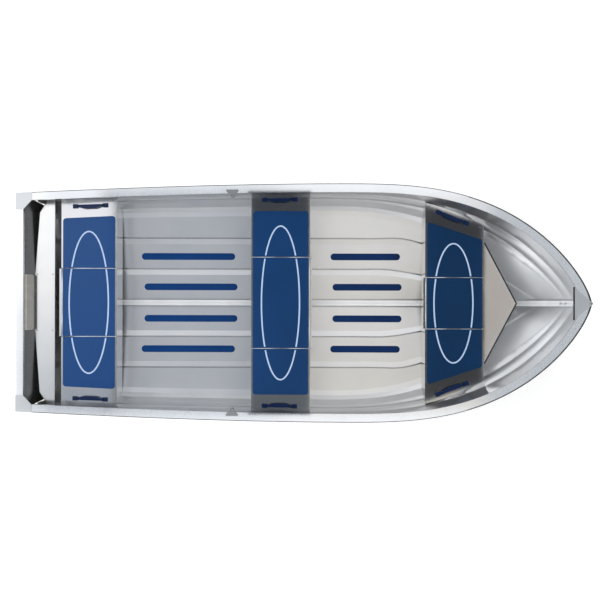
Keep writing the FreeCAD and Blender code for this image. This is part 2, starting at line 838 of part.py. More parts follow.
def lid_parts(span, lid_half, hinge_forward):
    """Lid with its rim and middle knuckles, and the fixed leaves with pin and knuckles."""
    sign = 1 if hinge_forward else -1
    edge_x = span[1] if hinge_forward else span[0]
    free_x = span[0] + lid_edge if hinge_forward else span[1] - lid_edge
    axis_x = edge_x + sign * hinge_reach
    axis_z = seat_top - hinge_drop
    far_x = axis_x + sign * hinge_barrel
    x0 = min(far_x, free_x)
    x1 = max(far_x, free_x)
    lid = block(x0, x1, -lid_half, lid_half, seat_top, seat_top + lid_plate)
    open_x = hatch_span(span)
    gap = lid_rim_clearance + tray_wall
    rim_y = hatch_half(lid_half) - gap
    rim = block(open_x[0] + gap, open_x[1] - gap, -rim_y, rim_y, seat_top - lid_rim, seat_top)
    wall = lid_rim_wall
    rim = rim.cut(block(open_x[0] + gap + wall, open_x[1] - gap - wall, -rim_y + wall, rim_y - wall,
                        seat_top - lid_rim, seat_top))
    moving = [rim]
    fixed = []
    along = V(0, 1, 0)
    length = hinge_barrel_length
    for side in (-1, 1):
        y = side * lid_half * hinge_place_share
        start = V(axis_x, y - length / 2, axis_z)
        barrel = Part.makeCylinder(hinge_barrel, length, start, along)
        web = block(min(axis_x, far_x), max(axis_x, far_x), start.y, start.y + length, axis_z, seat_top)
        bore = Part.makeCylinder(hinge_pin + hinge_fit, length, start, along)
        moving.append(barrel.fuse(web).cut(bore))
        pin = Part.makeCylinder(hinge_pin, length * 3, V(axis_x, y - length * 1.5, axis_z), along)
        pieces = [pin]
        for end in (-1, 1):
            low_y = y + end * (length + hinge_fit) - length / 2
            outer = Part.makeCylinder(hinge_barrel, length - hinge_fit, V(axis_x, low_y, axis_z), along)
            pieces.append(outer)
        leaf_x0 = min(edge_x, edge_x + sign * hinge_leaf)
        for end in (-1, 1):
            low_y = y + end * (length + hinge_fit) - length / 2
            pieces.append(block(leaf_x0, leaf_x0 + hinge_leaf, low_y, low_y + length - hinge_fit,
                                seat_top - hinge_leaf_height, axis_z))
        base = block(leaf_x0, leaf_x0 + hinge_leaf, y - length * 1.5, y + length * 1.5,
                     seat_top - hinge_leaf_height, axis_z - hinge_barrel - hinge_fit * 4)
        fixed.append(pieces[0].fuse(pieces[1:] + [base]))
    return lid.fuse(moving).removeSplitter(), fixed


def outer_mats(span, lid_half, insets):
    """Mats on both sides of the lid, their outer corners rounded."""
    inner = lid_half + lid_gap
    half_aft = hull_half(span[0], seat_top) - insets[0]
    half_front = hull_half(span[1], seat_top) - insets[1]
    corners = [(span[0] + mat_edge, inner), (span[1] - mat_edge, inner),
               (span[1] - mat_edge, half_front), (span[0] + mat_edge, half_aft)]
    port = prism([V(x, y, seat_top) for x, y in corners], V(0, 0, mat_thickness))
    rounded = [edge for edge in port.Edges if abs(edge.tangentAt(edge.FirstParameter).z) > 0.9
               and edge.BoundBox.YMin > inner + mat_edge]
    port = port.makeFillet(mat_corner, rounded)
    return Part.makeCompound([port, mirrored(port)])


def lid_mat(span, lid_half):
    z = seat_top + lid_plate
    half = lid_half - lid_mat_edge
    return block(span[0] + mat_edge, span[1] - mat_edge, -half, half, z, z + mat_thickness)


def handle_plan():
    """Outline of a handle from above, its grip bulging towards the boat's middle."""
    half = handle_length / 2
    foot = half - handle_foot
    neck = foot - handle_neck_run
    wide = handle_width / 2
    aft = [(-half, wide), (-half, -wide), (-foot, -wide), (-neck, -handle_neck),
           (-handle_bulge_half, -handle_bulge)]
    fore = [(-px, py) for px, py in aft[::-1]]
    outboard = [(foot, wide), (neck, handle_neck), (-neck, handle_neck), (-foot, wide)]
    return prism([V(px, py, 0) for px, py in aft + fore + outboard], V(0, 0, handle_height))


def grab_handle(x, y, turn):
    """Arched plastic handle with a foot at each end."""
    half = handle_length / 2
    foot = handle_foot
    ramp = handle_ramp
    grip_low = handle_height - handle_grip
    outer = [(-half, 0.0), (-half, handle_foot_height), (-half + foot, handle_foot_height),
             (-half + foot + ramp, handle_height)]
    inner = [(-half + foot + ramp + handle_grip, grip_low), (-half + foot + handle_grip, 0.0)]
    right = [(-px, pz) for px, pz in outer[::-1]]
    under = [(-px, pz) for px, pz in inner[::-1]] + inner
    points = [V(px, -handle_width, pz) for px, pz in outer + right + under]
    solid = prism(points, V(0, handle_width * 2, 0)).common(handle_plan())
    solid.rotate(V(0, 0, 0), V(0, 0, 1), turn)
    solid.translate(V(x, y, seat_top))
    return solid


def handle_pair(span, shift, inset):
    """Handles on the ends of a thwart, in line with the hull's sides."""
    x = (span[0] + span[1]) / 2 + shift
    aft_half = hull_half(x - handle_length / 2, seat_top)
    front_half = hull_half(x + handle_length / 2, seat_top)
    turn = math.degrees(math.atan2(front_half - aft_half, handle_length))
    port = grab_handle(x, hull_half(x, seat_top) - inset, turn)
    return [port, mirrored(port)]


def box_wall(half, x0):
    """Upright wall from the box's aft corner to its tip, its lower edge on the strakes."""
    lower = []
    for step in range(outline_steps + 1):
        share = step / outline_steps
        x = mix(x0, box_front_x, share)
        y = mix(half, 0, share)
        floor = floor_height(x, y) + strake_height + hull_gap * 4
        lower.append(V(x, y, max(floor, keel_line(x) + (keel_inside + keelson_plate) * 1.5)))
    inward = V(-half, x0 - box_front_x, 0).normalize() * box_sheet
    return prism([V(x0, half, seat_top)] + lower + [V(box_front_x, 0, seat_top)], inward)


def bow_box():
    """V-shaped box ahead of the front thwart: a top and two walls."""
    x0 = front_span[1] + seam_gap
    half = hull_half(x0, seat_top) - box_inset
    top = prism([V(x0, half, seat_top), V(x0, -half, seat_top), V(box_front_x, 0, seat_top)],
                V(0, 0, -box_sheet))
    port = box_wall(half, x0)
    keep = block(x0, bow_x, -beam, beam, 0, stem_head)
    return top.fuse([port, mirrored(port)]).common(keep).removeSplitter()


def stern_shelf():
    """Shelf across the stern with a folded front edge."""
    aft_x = transom_x(seat_top - thwart_sheet) + transom_run + hull_gap
    span = (aft_x, shelf_front_x)
    top = prism(seat_outline(span, hull_gap), V(0, 0, -thwart_sheet))
    front = apron(shelf_front_x - thwart_sheet, thwart_sheet, seat_top - shelf_apron)
    shelf = top.fuse(front)
    outer_y = hull_half(aft_x, seat_top)
    for side in (-1, 1):
        nick = [V(aft_x, side * cover_half, seat_top), V(aft_x - hull_gap, side * (outer_y + hull_gap), seat_top),
                V(aft_x + shelf_slant + shelf_corner_run, side * (outer_y + hull_gap), seat_top),
                V(aft_x + shelf_slant, side * (outer_y - shelf_corner), seat_top)]
        shelf = shelf.cut(prism(nick, V(0, 0, -thwart_sheet * 2)).fuse(prism(nick, V(0, 0, thwart_sheet))))
    return shelf.removeSplitter()


def shelf_cover():
    aft_x = transom_x(seat_top) + transom_run + hull_gap
    return block(aft_x, shelf_front_x, -cover_half, cover_half, seat_top, seat_top + cover_thickness)


def rowlock_socket():
    """Plate on the gunwale with a bored boss beside its inner lip."""
    y = edge_y(socket_x, 0.0) - socket_inset
    top = sheer_top(socket_x) + seam_gap
    gunwale_inner = edge_y(socket_x, rub_depth + gunwale_width)
    half = socket_plate_length / 2
    plate_outer = gunwale_inner + socket_plate_width
    points = [V(socket_x - half, plate_outer, top), V(socket_x + half, plate_outer, top),
              V(socket_x + half, gunwale_inner + socket_boss, top), V(socket_x + socket_boss, y, top),
              V(socket_x - socket_boss, y, top), V(socket_x - half, gunwale_inner + socket_boss, top)]
    plate = prism(points, V(0, 0, socket_plate))
    boss = Part.makeCylinder(socket_boss, socket_depth + socket_plate,
                             V(socket_x, y, top - socket_depth), V(0, 0, 1))
    keep_out = block(socket_x - half, socket_x + half, gunwale_inner - hull_gap, beam, 0, top)
    bore = Part.makeCylinder(socket_bore, socket_depth + socket_plate,
                             V(socket_x, y, top - socket_depth), V(0, 0, 1))
    return boss.cut(keep_out).fuse(plate).cut(bore).removeSplitter()


def floor_strip(span, place):
    """Thin strip with round ends that follows the sloping bottom."""
    half = strip_width / 2
    sections = []
    for step in range(strip_steps + 1):
        x = mix(span[0], span[1], step / strip_steps)
        low = V(x, place - half, floor_height(x, place - half) + strip_lift)
        high = V(x, place + half, floor_height(x, place + half) + strip_lift)
        up = V(0, 0, strip_thickness)
        sections.append(Part.makePolygon([low, high, high + up, low + up, low]))
    outline = block(span[0] + half, span[1] - half, place - half, place + half, 0, seat_top)
    ends = [Part.makeCylinder(half, seat_top, V(x, place, 0), V(0, 0, 1))
            for x in (span[0] + half, span[1] - half)]
    return Part.makeLoft(sections, True, True).common(outline.fuse(ends).removeSplitter())


def floor_strips():
    strips = []
    for span in (aft_strips, front_strips):
        for share, shift in zip(strip_place_shares, strip_shifts):
            strip = floor_strip((span[0] + shift, span[1] + shift), chine_half * share)
            strips += [strip, mirrored(strip)]
    return Part.makeCompound(strips)


def save(name, shape):
    lowered = shape.copy()
    lowered.translate(V(0, 0, -light_draught))
    lowered.exportStep("parts/" + name + ".step")


def save_pair(name, port):
    save(name + "_port", port)
    save(name + "_starboard", mirrored(port))


def save_seat(name, span, lid_half, hinge_forward, mat_insets):
    """Saves a seat's pieces apart from its hinges, which are returned."""
    save("thwart_" + name, thwart(span, lid_half))
    save("tray_" + name, tray(span, lid_half))
    lid, hinges = lid_parts(span, lid_half, hinge_forward)
    save("lid_" + name, lid)
    save("lid_mat_" + name, lid_mat(span, lid_half))
    save("mats_" + name, outer_mats(span, lid_half, mat_insets))
    return hinges


def build():
    os.makedirs("parts", exist_ok=True)
    save_pair("hull_bottom", hull_bottom())
    save_pair("hull_side", hull_side())
    save("keel_bar", keel_bar())
    save("keelson", keelson())
    save("transom", transom())
    save_pair("gunwale", gunwale())
    save_pair("rub_strip", rub_strip())
    save("transom_rail", transom_rail())
    save_pair("corner_casting", corner_casting())
    pad_top = sheer_height - rail_height - seam_gap
    save("motor_pad_inner", raked_block(pad_half, pad_top, seat_top + pad_lift, pad_thickness, True,
                                        pad_corner))
    save("motor_pad_outer", raked_block(pad_half, pad_top, pad_top - pad_outer_height,
                                        pad_outer_thickness, False, pad_corner))
    save("bow_fittings", Part.makeCompound([breasthook(), bow_eye()]))
    hinges = save_seat("aft", aft_span, aft_lid_half, False, aft_mat_insets)
    hinges += save_seat("middle", mid_span, mid_lid_half, True, mid_mat_insets)
    hinges += save_seat("front", front_span, front_lid_half, False, front_mat_insets)
    save("hatch_hinges", Part.makeCompound(hinges))
    handles = handle_pair(aft_span, aft_handle_shift, aft_handle_inset)
    handles += handle_pair(mid_span, mid_handle_shift, mid_handle_inset)
    handles += handle_pair(front_span, front_handle_shift, front_handle_inset)
    save("grab_handles", Part.makeCompound(handles))
    save("bow_box", bow_box())
    save("stern_shelf", stern_shelf())
    save("shelf_cover", shelf_cover())
    save_pair("rowlock_socket", rowlock_socket())
    save("floor_strips", floor_strips())


build()
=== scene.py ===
import json
import math

import bmesh
import bpy
from bpy.props import FloatProperty, FloatVectorProperty, PointerProperty
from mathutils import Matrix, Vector
from mathutils.bvhtree import BVHTree


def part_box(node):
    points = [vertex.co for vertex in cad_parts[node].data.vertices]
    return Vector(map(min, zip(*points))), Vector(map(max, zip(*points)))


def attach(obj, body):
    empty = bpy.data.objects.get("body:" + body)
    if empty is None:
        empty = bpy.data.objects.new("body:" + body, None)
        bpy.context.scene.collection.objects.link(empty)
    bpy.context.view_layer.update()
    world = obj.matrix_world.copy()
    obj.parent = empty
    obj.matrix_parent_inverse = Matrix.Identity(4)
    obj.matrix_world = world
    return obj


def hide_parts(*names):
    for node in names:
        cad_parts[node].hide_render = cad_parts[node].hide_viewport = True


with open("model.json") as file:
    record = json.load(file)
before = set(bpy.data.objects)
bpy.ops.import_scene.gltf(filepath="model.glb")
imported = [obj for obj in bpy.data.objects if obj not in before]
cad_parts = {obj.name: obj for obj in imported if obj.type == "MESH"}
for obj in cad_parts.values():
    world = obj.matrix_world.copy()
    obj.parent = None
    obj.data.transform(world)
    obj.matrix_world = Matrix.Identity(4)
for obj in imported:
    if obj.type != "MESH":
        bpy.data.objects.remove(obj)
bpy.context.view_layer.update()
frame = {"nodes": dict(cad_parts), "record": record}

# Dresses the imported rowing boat. The bow points along +X, port is +Y, and z = 0 is the waterline.
# Everything is in metres, and every piece rides on the hull or on one of the three hatch lids.

bl_info = {
    "name": "Rowing boat dressing",
    "version": (1, 0, 0),
    "blender": (4, 5, 0),
    "location": "3D View > Sidebar > Rowing boat",
    "description": "Finishes, trim, mat lines, rivets and stage for an open aluminium rowing boat",
    "category": "Object",
}

NODES = frame["nodes"]
SUBPARTS = frame["record"]["subparts"]
SEATS = ("aft", "middle", "front")
SIDES = ("port", "starboard")
UP = Vector((0, 0, 1))
DOWN = Vector((0, 0, -1))
TINY = 1e-6            # corners closer than this are one corner


def linear(hex_colour):
    """sRGB hex to linear red, green, blue and alpha."""
    values = [int(hex_colour[i:i + 2], 16) / 255 for i in (1, 3, 5)]
    return [v / 12.92 if v <= 0.04045 else ((v + 0.055) / 1.055) ** 2.4 for v in values] + [1.0]


# Sizes and colours that a user would change

class BoatColours(bpy.types.PropertyGroup):
    mat: FloatVectorProperty(name="Seat mats", description="Foam of the seat mats towards the bow",
                             default=linear("#072D51"), size=4, subtype="COLOR")
    # painted light: the paler stern colours of the mats and strips stand in for the brighter light and sheen
    # astern
    mat_lit_astern: FloatVectorProperty(name="Seat mats, faded", description="The same towards the stern",
                                   default=linear("#104078"), size=4, subtype="COLOR")
    strip: FloatVectorProperty(name="Floor strips", description="Foam of the floor strips towards the bow",
                               default=linear("#0E2347"), size=4, subtype="COLOR")
    strip_lit_astern: FloatVectorProperty(name="Floor strips, faded", description="The same towards the stern",
                                     default=linear("#103C76"), size=4, subtype="COLOR")
    handle: FloatVectorProperty(name="Handles", description="Darker tone of the grab handles",
                                default=linear("#0A1D40"), size=4, subtype="COLOR")
    handle_light: FloatVectorProperty(name="Handles, light", description="Paler tone of the grab handles",
                                      default=linear("#102B57"), size=4, subtype="COLOR")


class BoatSheetShaping(bpy.types.PropertyGroup):
    crease_angle: FloatProperty(name="Crease angle", description="Folds sharper than this stay crisp",
                                default=math.radians(9), unit="ROTATION")
    soft_angle: FloatProperty(name="Soft angle", description="The same, towards the bow and on the sides",
                              default=math.radians(60), unit="ROTATION")
    soft_from: FloatProperty(name="Soft from", description="Where the soft creases start, along the boat",
                             default=1.15, unit="LENGTH")


class BoatHemSizes(bpy.types.PropertyGroup):
    clearance: FloatProperty(name="Hem clearance", description="Gap between a side hem and the mats",
                             default=0.0002, unit="LENGTH")
    inset: FloatProperty(name="Hem inset", description="How far a side hem ends short of the lid",
                         default=0.001, unit="LENGTH")
    root: FloatProperty(name="Hem root", description="How deep a side hem starts in the lid",
                        default=0.0025, unit="LENGTH")
    proud: FloatProperty(name="Hem height", description="How far a side hem stands above the mat",
                         default=0.0015, unit="LENGTH")
    edge_place: FloatProperty(name="Edge place", description="Middle of the free edge's hem, from the mat",
                              default=0.0065, unit="LENGTH")
    edge_half: FloatProperty(name="Edge half-width", description="Half the width of the free edge's hem",
                             default=0.0055, unit="LENGTH")
    edge_rise: FloatProperty(name="Edge height", description="Root and height of the free edge's hem",
                             default=0.001, unit="LENGTH")


class BoatMatSizes(bpy.types.PropertyGroup):
    line_width: FloatProperty(name="Line width", description="Width of the oval line on the mats",
                              default=0.010, unit="LENGTH")
    line_height: FloatProperty(name="Line height", description="How far the line stands above the mat",
                               default=0.0006, unit="LENGTH")
    line_inset: FloatProperty(name="Line inset", description="How far the line ends short of a mat's edge",
                              default=0.0005, unit="LENGTH")
    centres: FloatVectorProperty(name="Oval middles", default=(-1.504, -0.144, 1.083), size=3, unit="LENGTH",
                                 description="Middles of the aft, middle and front oval, along the boat")
    aft_half: FloatVectorProperty(name="Aft oval", description="Half-length and half-width of the aft oval",
                                  default=(0.139, 0.503), size=2, unit="LENGTH")
    middle_half: FloatVectorProperty(name="Middle oval", default=(0.135, 0.545), size=2, unit="LENGTH",
                                     description="Half-length and half-width of the middle oval")
    front_half: FloatVectorProperty(name="Front oval", default=(0.138, 0.423), size=2, unit="LENGTH",
                                    description="Half-length and half-width of the front oval")


class BoatRivetSizes(bpy.types.PropertyGroup):
    radius: FloatProperty(name="Rivet radius", description="Radius of a rivet head",
                          default=0.005, unit="LENGTH")
    height: FloatProperty(name="Rivet height", description="Height of a rivet head",
                          default=0.002, unit="LENGTH")
    spacing: FloatProperty(name="Rivet spacing", description="Distance between rivets along the gunwale",
                           default=0.085, unit="LENGTH")
    row_drop: FloatProperty(name="Row drop", description="How far the gunwale's row is below its top",
                            default=0.0275, unit="LENGTH")
    row_ends: FloatVectorProperty(name="Row ends", default=(0.16, 0.10), size=2, unit="LENGTH",
                                  description="How far the row stays from the gunwale's aft and fore end")
    seat_inset: FloatVectorProperty(name="Seat inset", default=(0.030, 0.018), size=2, unit="LENGTH",
                                    description="Rivets of a thwart, in from its edge and from its end")
    cover_inset: FloatVectorProperty(name="Cover inset", default=(0.014, 0.010), size=2, unit="LENGTH",
                                     description="Rivets of the stern cover, in from edge and end")
    bow_place: FloatVectorProperty(name="Bow box place", default=(0.050, 0.016), size=2, unit="LENGTH",
                                   description="Rivets of the bow box, from its tip and from the middle")


class BoatBowSizes(bpy.types.PropertyGroup):
    bolt_place: FloatProperty(name="Bolt place", description="Bolt of the breasthook, along the boat",
                              default=1.955, unit="LENGTH")
    bolt_radius: FloatProperty(name="Bolt radius", description="Radius of the bolt's head",
                               default=0.008, unit="LENGTH")
    bolt_height: FloatProperty(name="Bolt height", description="Height of the bolt's head",
                               default=0.004, unit="LENGTH")
    # painted shade: the black strips along the bow box and breasthook stand in for shade lines at their edges
    shade_line_half: FloatProperty(name="Trim half-width", description="Half the width of the black edging",
                             default=0.005, unit="LENGTH")
    lip_start: FloatProperty(name="Lip start", description="Where the rub strip's lip starts, along the boat",
                             default=1.15, unit="LENGTH")
    lip_end: FloatProperty(name="Lip end", description="Last place where the lip follows the gunwale",
                           default=1.962, unit="LENGTH")
    lip_narrow: FloatProperty(name="Lip width aft", description="Width of the lip where it starts",
                              default=0.002, unit="LENGTH")
    lip_wide: FloatProperty(name="Lip width at the stem", description="Width of the lip at the stem",
                            default=0.006, unit="LENGTH")
    lip_thick: FloatProperty(name="Lip thickness", description="Thickness of the lip on the gunwale",
                             default=0.0015, unit="LENGTH")


class BoatStage(bpy.types.PropertyGroup):
    camera_height: FloatProperty(name="Camera height", description="Camera above the waterline",
                                 default=7.437, unit="LENGTH")
    camera_place: FloatProperty(name="Camera place", description="Camera along the boat from its middle",
                                default=-0.0054, unit="LENGTH")
    camera_turn: FloatProperty(name="Camera turn", description="Turn of the camera about the vertical",
                               default=0.0026, unit="ROTATION")
    camera_shift: FloatProperty(name="Camera shift", description="Vertical shift as a share of the picture",
                                default=2.9 / 600)
    lens: FloatProperty(name="Lens", description="Focal length on a 36 mm sensor", default=60.6)
    card_height: FloatProperty(name="Card height", description="Height of the studio cards over the boat",
                               default=0.95, unit="LENGTH")
    floor_reach: FloatProperty(name="Floor radius", description="Radius of the pale floor",
                               default=14.0, unit="LENGTH")


# Nodes of the materials

def fill(tree, node, inputs):
    """Sets or links the inputs of a node."""
    for name, value in inputs.items():
        socket = node.inputs[name]
        if isinstance(value, bpy.types.NodeSocket):
            tree.links.new(value, socket)
        else:
            socket.default_value = value


def add_node(tree, kind, inputs=None, **settings):
    """Adds a node with its settings and its inputs."""
    node = tree.nodes.new(kind)
    for name, value in settings.items():
        setattr(node, name, value)
    fill(tree, node, inputs or {})
    return node


def new_material(name):
    """An empty node material, with the shader, its output and the object's own coordinates."""
    material = bpy.data.materials.new(name)
    material.use_nodes = True
    tree = material.node_tree
    tree.nodes.clear()
    shader = add_node(tree, "ShaderNodeBsdfPrincipled")
    add_node(tree, "ShaderNodeOutputMaterial", {"Surface": shader.outputs[0]})
    place = add_node(tree, "ShaderNodeTexCoord").outputs["Object"]
    return material, tree, shader, place


# Bare metals

CLOUD_MM = 240.0          # cloudy tone of rolled sheet
GRAIN_DEPTH = 0.0006
RIPPLE_DEPTH = 0.02
BOW_SHEET = (1.15, 1.5)   # the sheet grows duller between these places


def metal(name, dark, light, roughness, grain_mm, stretch, grain=0.08, ripple=0.0, ripple_mm=180.0,
          shine=1.0, bow_dull=0.0):
    """Bare aluminium or steel: rolled or ground grain, a trace of cloudy tone, and ripples in the sheet."""
    material, tree, shader, place = new_material(name)
    drawn = add_node(tree, "ShaderNodeMapping", {"Vector": place, "Scale": stretch}).outputs[0]
    fine = add_node(tree, "ShaderNodeTexNoise", {"Vector": drawn, "Scale": 1000 / grain_mm,
                                                 "Detail": 3.0, "Roughness": 0.6}).outputs[0]
    cloud = add_node(tree, "ShaderNodeTexNoise", {"Vector": place, "Scale": 1000 / CLOUD_MM,
                                                  "Detail": 4.0, "Roughness": 0.55}).outputs[0]
    tone = add_node(tree, "ShaderNodeMapRange", {"Value": cloud, "From Min": 0.25, "From Max": 0.75})
    colour = add_node(tree, "ShaderNodeMix", {"Factor": tone.outputs[0], 6: linear(dark), 7: linear(light)},
                      data_type="RGBA")
    glint = add_node(tree, "ShaderNodeMapRange", {"Value": fine, "From Min": 0.3, "From Max": 0.7,
                                                  "To Min": -0.03, "To Max": 0.03})
    haze = add_node(tree, "ShaderNodeMapRange", {"Value": cloud, "From Min": 0.3, "From Max": 0.7,
                                                 "To Min": roughness * 0.95, "To Max": roughness * 1.05})
    spread = add_node(tree, "ShaderNodeMath", {0: glint.outputs[0], 1: haze.outputs[0]}, operation="ADD")
    if bow_dull:
        along = add_node(tree, "ShaderNodeSeparateXYZ", {"Vector": place}).outputs["X"]
        duller = add_node(tree, "ShaderNodeMapRange", {"Value": along, "From Min": BOW_SHEET[0],
                                                       "From Max": BOW_SHEET[1], "To Max": bow_dull})
        spread = add_node(tree, "ShaderNodeMath", {0: spread.outputs[0], 1: duller.outputs[0]},
                          operation="ADD")
    normal = add_node(tree, "ShaderNodeBump", {"Strength": grain, "Distance": GRAIN_DEPTH, "Height": fine})
    if ripple:
        wave = add_node(tree, "ShaderNodeTexNoise", {"Vector": place, "Scale": 1000 / ripple_mm,
                                                     "Detail": 1.0, "Roughness": 0.4}).outputs[0]
        normal = add_node(tree, "ShaderNodeBump", {"Strength": ripple, "Distance": RIPPLE_DEPTH,
                                                   "Height": wave, "Normal": normal.outputs[0]})
    fill(tree, shader, {"Metallic": shine, "Base Color": colour.outputs[2], "Roughness": spread.outputs[0],
                        "Normal": normal.outputs[0]})
    return material


def pressed_aluminium():
    """Rolled marine aluminium sheet, bare: satin, with long grain and soft ripples from the press, and duller
    where it is stretched over the bow."""
    return metal("pressed aluminium sheet", "#DCDDDF", "#E4E4E3", roughness=0.32, grain_mm=1.2,
                 stretch=(0.05, 1.0, 1.0), ripple=0.10, ripple_mm=230.0, bow_dull=0.10)


def folded_aluminium():
    """Thinner folded sheet of the thwarts and boxes: flatter and shinier, with a light brushed grain."""
    return metal("folded aluminium sheet", "#DFE0E1", "#E6E6E6", roughness=0.15, grain_mm=1.0,
                 stretch=(1.0, 0.06, 1.0), ripple=0.05, ripple_mm=160.0)


def transom_sheet_painted_dark():
    """Transom sheet with long grain across the boat. Its dark grey base colour is painted reflection,
    standing in for the dark shade that the inner face mirrors.
    """
    # painted reflection: the dark grey base stands in for the shade that the transom's inner face mirrors
    return metal("transom sheet", "#8B8985", "#94928E", roughness=0.26, grain_mm=1.2,
                 stretch=(1.0, 0.05, 1.0), ripple=0.06, ripple_mm=200.0)


def anodised_extrusion():
    """Clear anodised extrusion of the gunwale: even, pale and satin."""
    return metal("anodised aluminium extrusion", "#E2E4E6", "#EBEDEF", roughness=0.28, grain_mm=0.9,
                 stretch=(0.04, 1.0, 1.0), grain=0.05)


def oxidised_strip():
    """Flat strip along the keel, left mill finished: a pale oxide skin that scatters the light."""
    return metal("oxidised aluminium strip", "#E0E2E4", "#ECEDEE", roughness=0.40, grain_mm=1.0,
                 stretch=(0.04, 1.0, 1.0), grain=0.04, shine=0.45)


def cast_aluminium():
    """Sand-cast aluminium fittings, tumbled: dull with a fine pebbled skin."""
    return metal("cast aluminium", "#C4C6C8", "#D0D2D4", roughness=0.42, grain_mm=1.6,
                 stretch=(1.0, 1.0, 1.0), grain=0.35)


def galvanised_casting():
    """Rowlock sockets: cast and galvanised, darker than the hull, with a pebbled skin."""
    return metal("galvanised casting", "#8F9193", "#9D9FA1", roughness=0.36, grain_mm=1.6,
                 stretch=(1.0, 1.0, 1.0), grain=0.35)


def stainless_steel():
    """Turned and polished stainless fasteners: smooth, with clear highlights."""
    return metal("stainless steel", "#A8A9AB", "#BEBFC1", roughness=0.22, grain_mm=0.7,
                 stretch=(1.0, 1.0, 1.0), grain=0.03)


# Rubber, foam, plastic and board

SCUFF_MM = 35.0           # scuffs of the rub strip
FOAM_GRIT_MM = 1.5        # skin of the foam mats
FOAM_CLOUD_MM = 260.0     # uneven fading of the mats
MOULD_GRIT_MM = 1.2       # moulded texture of the handles
STREAK_MM = 30.0          # streaks of the motor pads, measured across the grain
PRINT_GRIT_MM = 4.0       # worn print of the oval lines
RIB_MM = 8.0              # a rib of the mats or the groove beside it, drawn wide enough to show
STRIP_RIB_MM = 6.0        # the same on the floor strips
HALF_WAVES = 20 / math.pi   # ribs and grooves to the metre that a wave texture of scale 1 draws
LIGHTER_ASTERN_RUN = (1.0, -1.4)      # painted light: foam is darkest at the first place along the boat and palest at the second, for the brighter light and sheen astern


def rub_rubber():
    """Black extruded vinyl rub strip: matt, with light scuffs."""
    material, tree, shader, place = new_material("black vinyl rub strip")
    scuff = add_node(tree, "ShaderNodeTexNoise", {"Vector": place, "Scale": 1000 / SCUFF_MM,
                                                  "Detail": 5.0}).outputs[0]
    worn = add_node(tree, "ShaderNodeMapRange", {"Value": scuff, "From Min": 0.45, "From Max": 0.7})
    colour = add_node(tree, "ShaderNodeMix", {"Factor": worn.outputs[0], 6: linear("#151516"),
                                              7: linear("#2C2C2E")}, data_type="RGBA")
    matt = add_node(tree, "ShaderNodeMapRange", {"Value": scuff, "To Min": 0.45, "To Max": 0.62})
    fill(tree, shader, {"Base Color": colour.outputs[2], "Roughness": matt.outputs[0],
                        "Specular IOR Level": 0.4})
    return material


def ribbed_foam(name, dark, light, rib_mm, gloss):
    """Closed-cell foam with a smooth skin and fine ribs along the boat. Its colour is painted lighter towards
    the stern as painted light and sheen, with a trace of uneven tone.
    """
    material, tree, shader, place = new_material(name)
    rib = add_node(tree, "ShaderNodeTexWave", {"Vector": place, "Scale": 1000 / rib_mm / HALF_WAVES,
                                               "Distortion": 0.0}, bands_direction="Y").outputs[1]
    grit = add_node(tree, "ShaderNodeTexNoise", {"Vector": place, "Scale": 1000 / FOAM_GRIT_MM,
                                                 "Detail": 2.0}).outputs[0]
    cloud = add_node(tree, "ShaderNodeTexNoise", {"Vector": place, "Scale": 1000 / FOAM_CLOUD_MM,
                                                  "Detail": 3.0}).outputs[0]
    along = add_node(tree, "ShaderNodeSeparateXYZ", {"Vector": place}).outputs["X"]
    # painted light: the colour pales along the boat towards the stern for the brighter light there, and the
    # cloud adds real uneven tone
    stern_light = add_node(tree, "ShaderNodeMapRange", {"Value": along, "From Min": LIGHTER_ASTERN_RUN[0], "From Max": LIGHTER_ASTERN_RUN[1]})
    uneven = add_node(tree, "ShaderNodeMapRange", {"Value": cloud, "From Min": 0.3, "From Max": 0.7,
                                                   "To Min": -0.08, "To Max": 0.08})
    lighter_astern_and_uneven = add_node(tree, "ShaderNodeMath", {0: stern_light.outputs[0], 1: uneven.outputs[0]}, operation="ADD")
    colour = add_node(tree, "ShaderNodeMix", {"Factor": lighter_astern_and_uneven.outputs[0], 6: dark, 7: light},
                      data_type="RGBA")
    skin = add_node(tree, "ShaderNodeMapRange", {"Value": grit, "To Min": 0.20, "To Max": 0.30})
    fine = add_node(tree, "ShaderNodeBump", {"Strength": 0.10, "Distance": 0.0004, "Height": grit})
    ribs = add_node(tree, "ShaderNodeBump", {"Strength": 0.12, "Distance": 0.0006, "Height": rib,
                                             "Normal": fine.outputs[0]})
    fill(tree, shader, {"Base Color": colour.outputs[2], "Roughness": skin.outputs[0],
                        "Normal": ribs.outputs[0], "Specular IOR Level": gloss})
    return material


def foam_mat():
    """Mats of the seats: blue foam with a smooth skin that takes a soft sheen."""
    colours = bpy.context.scene.boat_colours
    return ribbed_foam("blue foam mat", colours.mat, colours.mat_lit_astern, RIB_MM, gloss=0.35)


def floor_foam():
    """Strips on the floor: the same foam with finer ribs, worn matt."""
    colours = bpy.context.scene.boat_colours
    return ribbed_foam("blue floor strip", colours.strip, colours.strip_lit_astern, STRIP_RIB_MM, gloss=0.06)


def moulded_nylon():
    """Moulded nylon grab handle: deep blue with a fine moulded texture."""
    colours = bpy.context.scene.boat_colours
    material, tree, shader, place = new_material("moulded nylon handle")
    grit = add_node(tree, "ShaderNodeTexNoise", {"Vector": place, "Scale": 1000 / MOULD_GRIT_MM,
                                                 "Detail": 2.0}).outputs[0]
    colour = add_node(tree, "ShaderNodeMix", {"Factor": grit, 6: colours.handle, 7: colours.handle_light},
                      data_type="RGBA")
    skin = add_node(tree, "ShaderNodeMapRange", {"Value": grit, "To Min": 0.24, "To Max": 0.34})
    pebble = add_node(tree, "ShaderNodeBump", {"Strength": 0.12, "Distance": 0.0003, "Height": grit})
    fill(tree, shader, {"Base Color": colour.outputs[2], "Roughness": skin.outputs[0],
                        "Normal": pebble.outputs[0], "Specular IOR Level": 0.3})
    return material


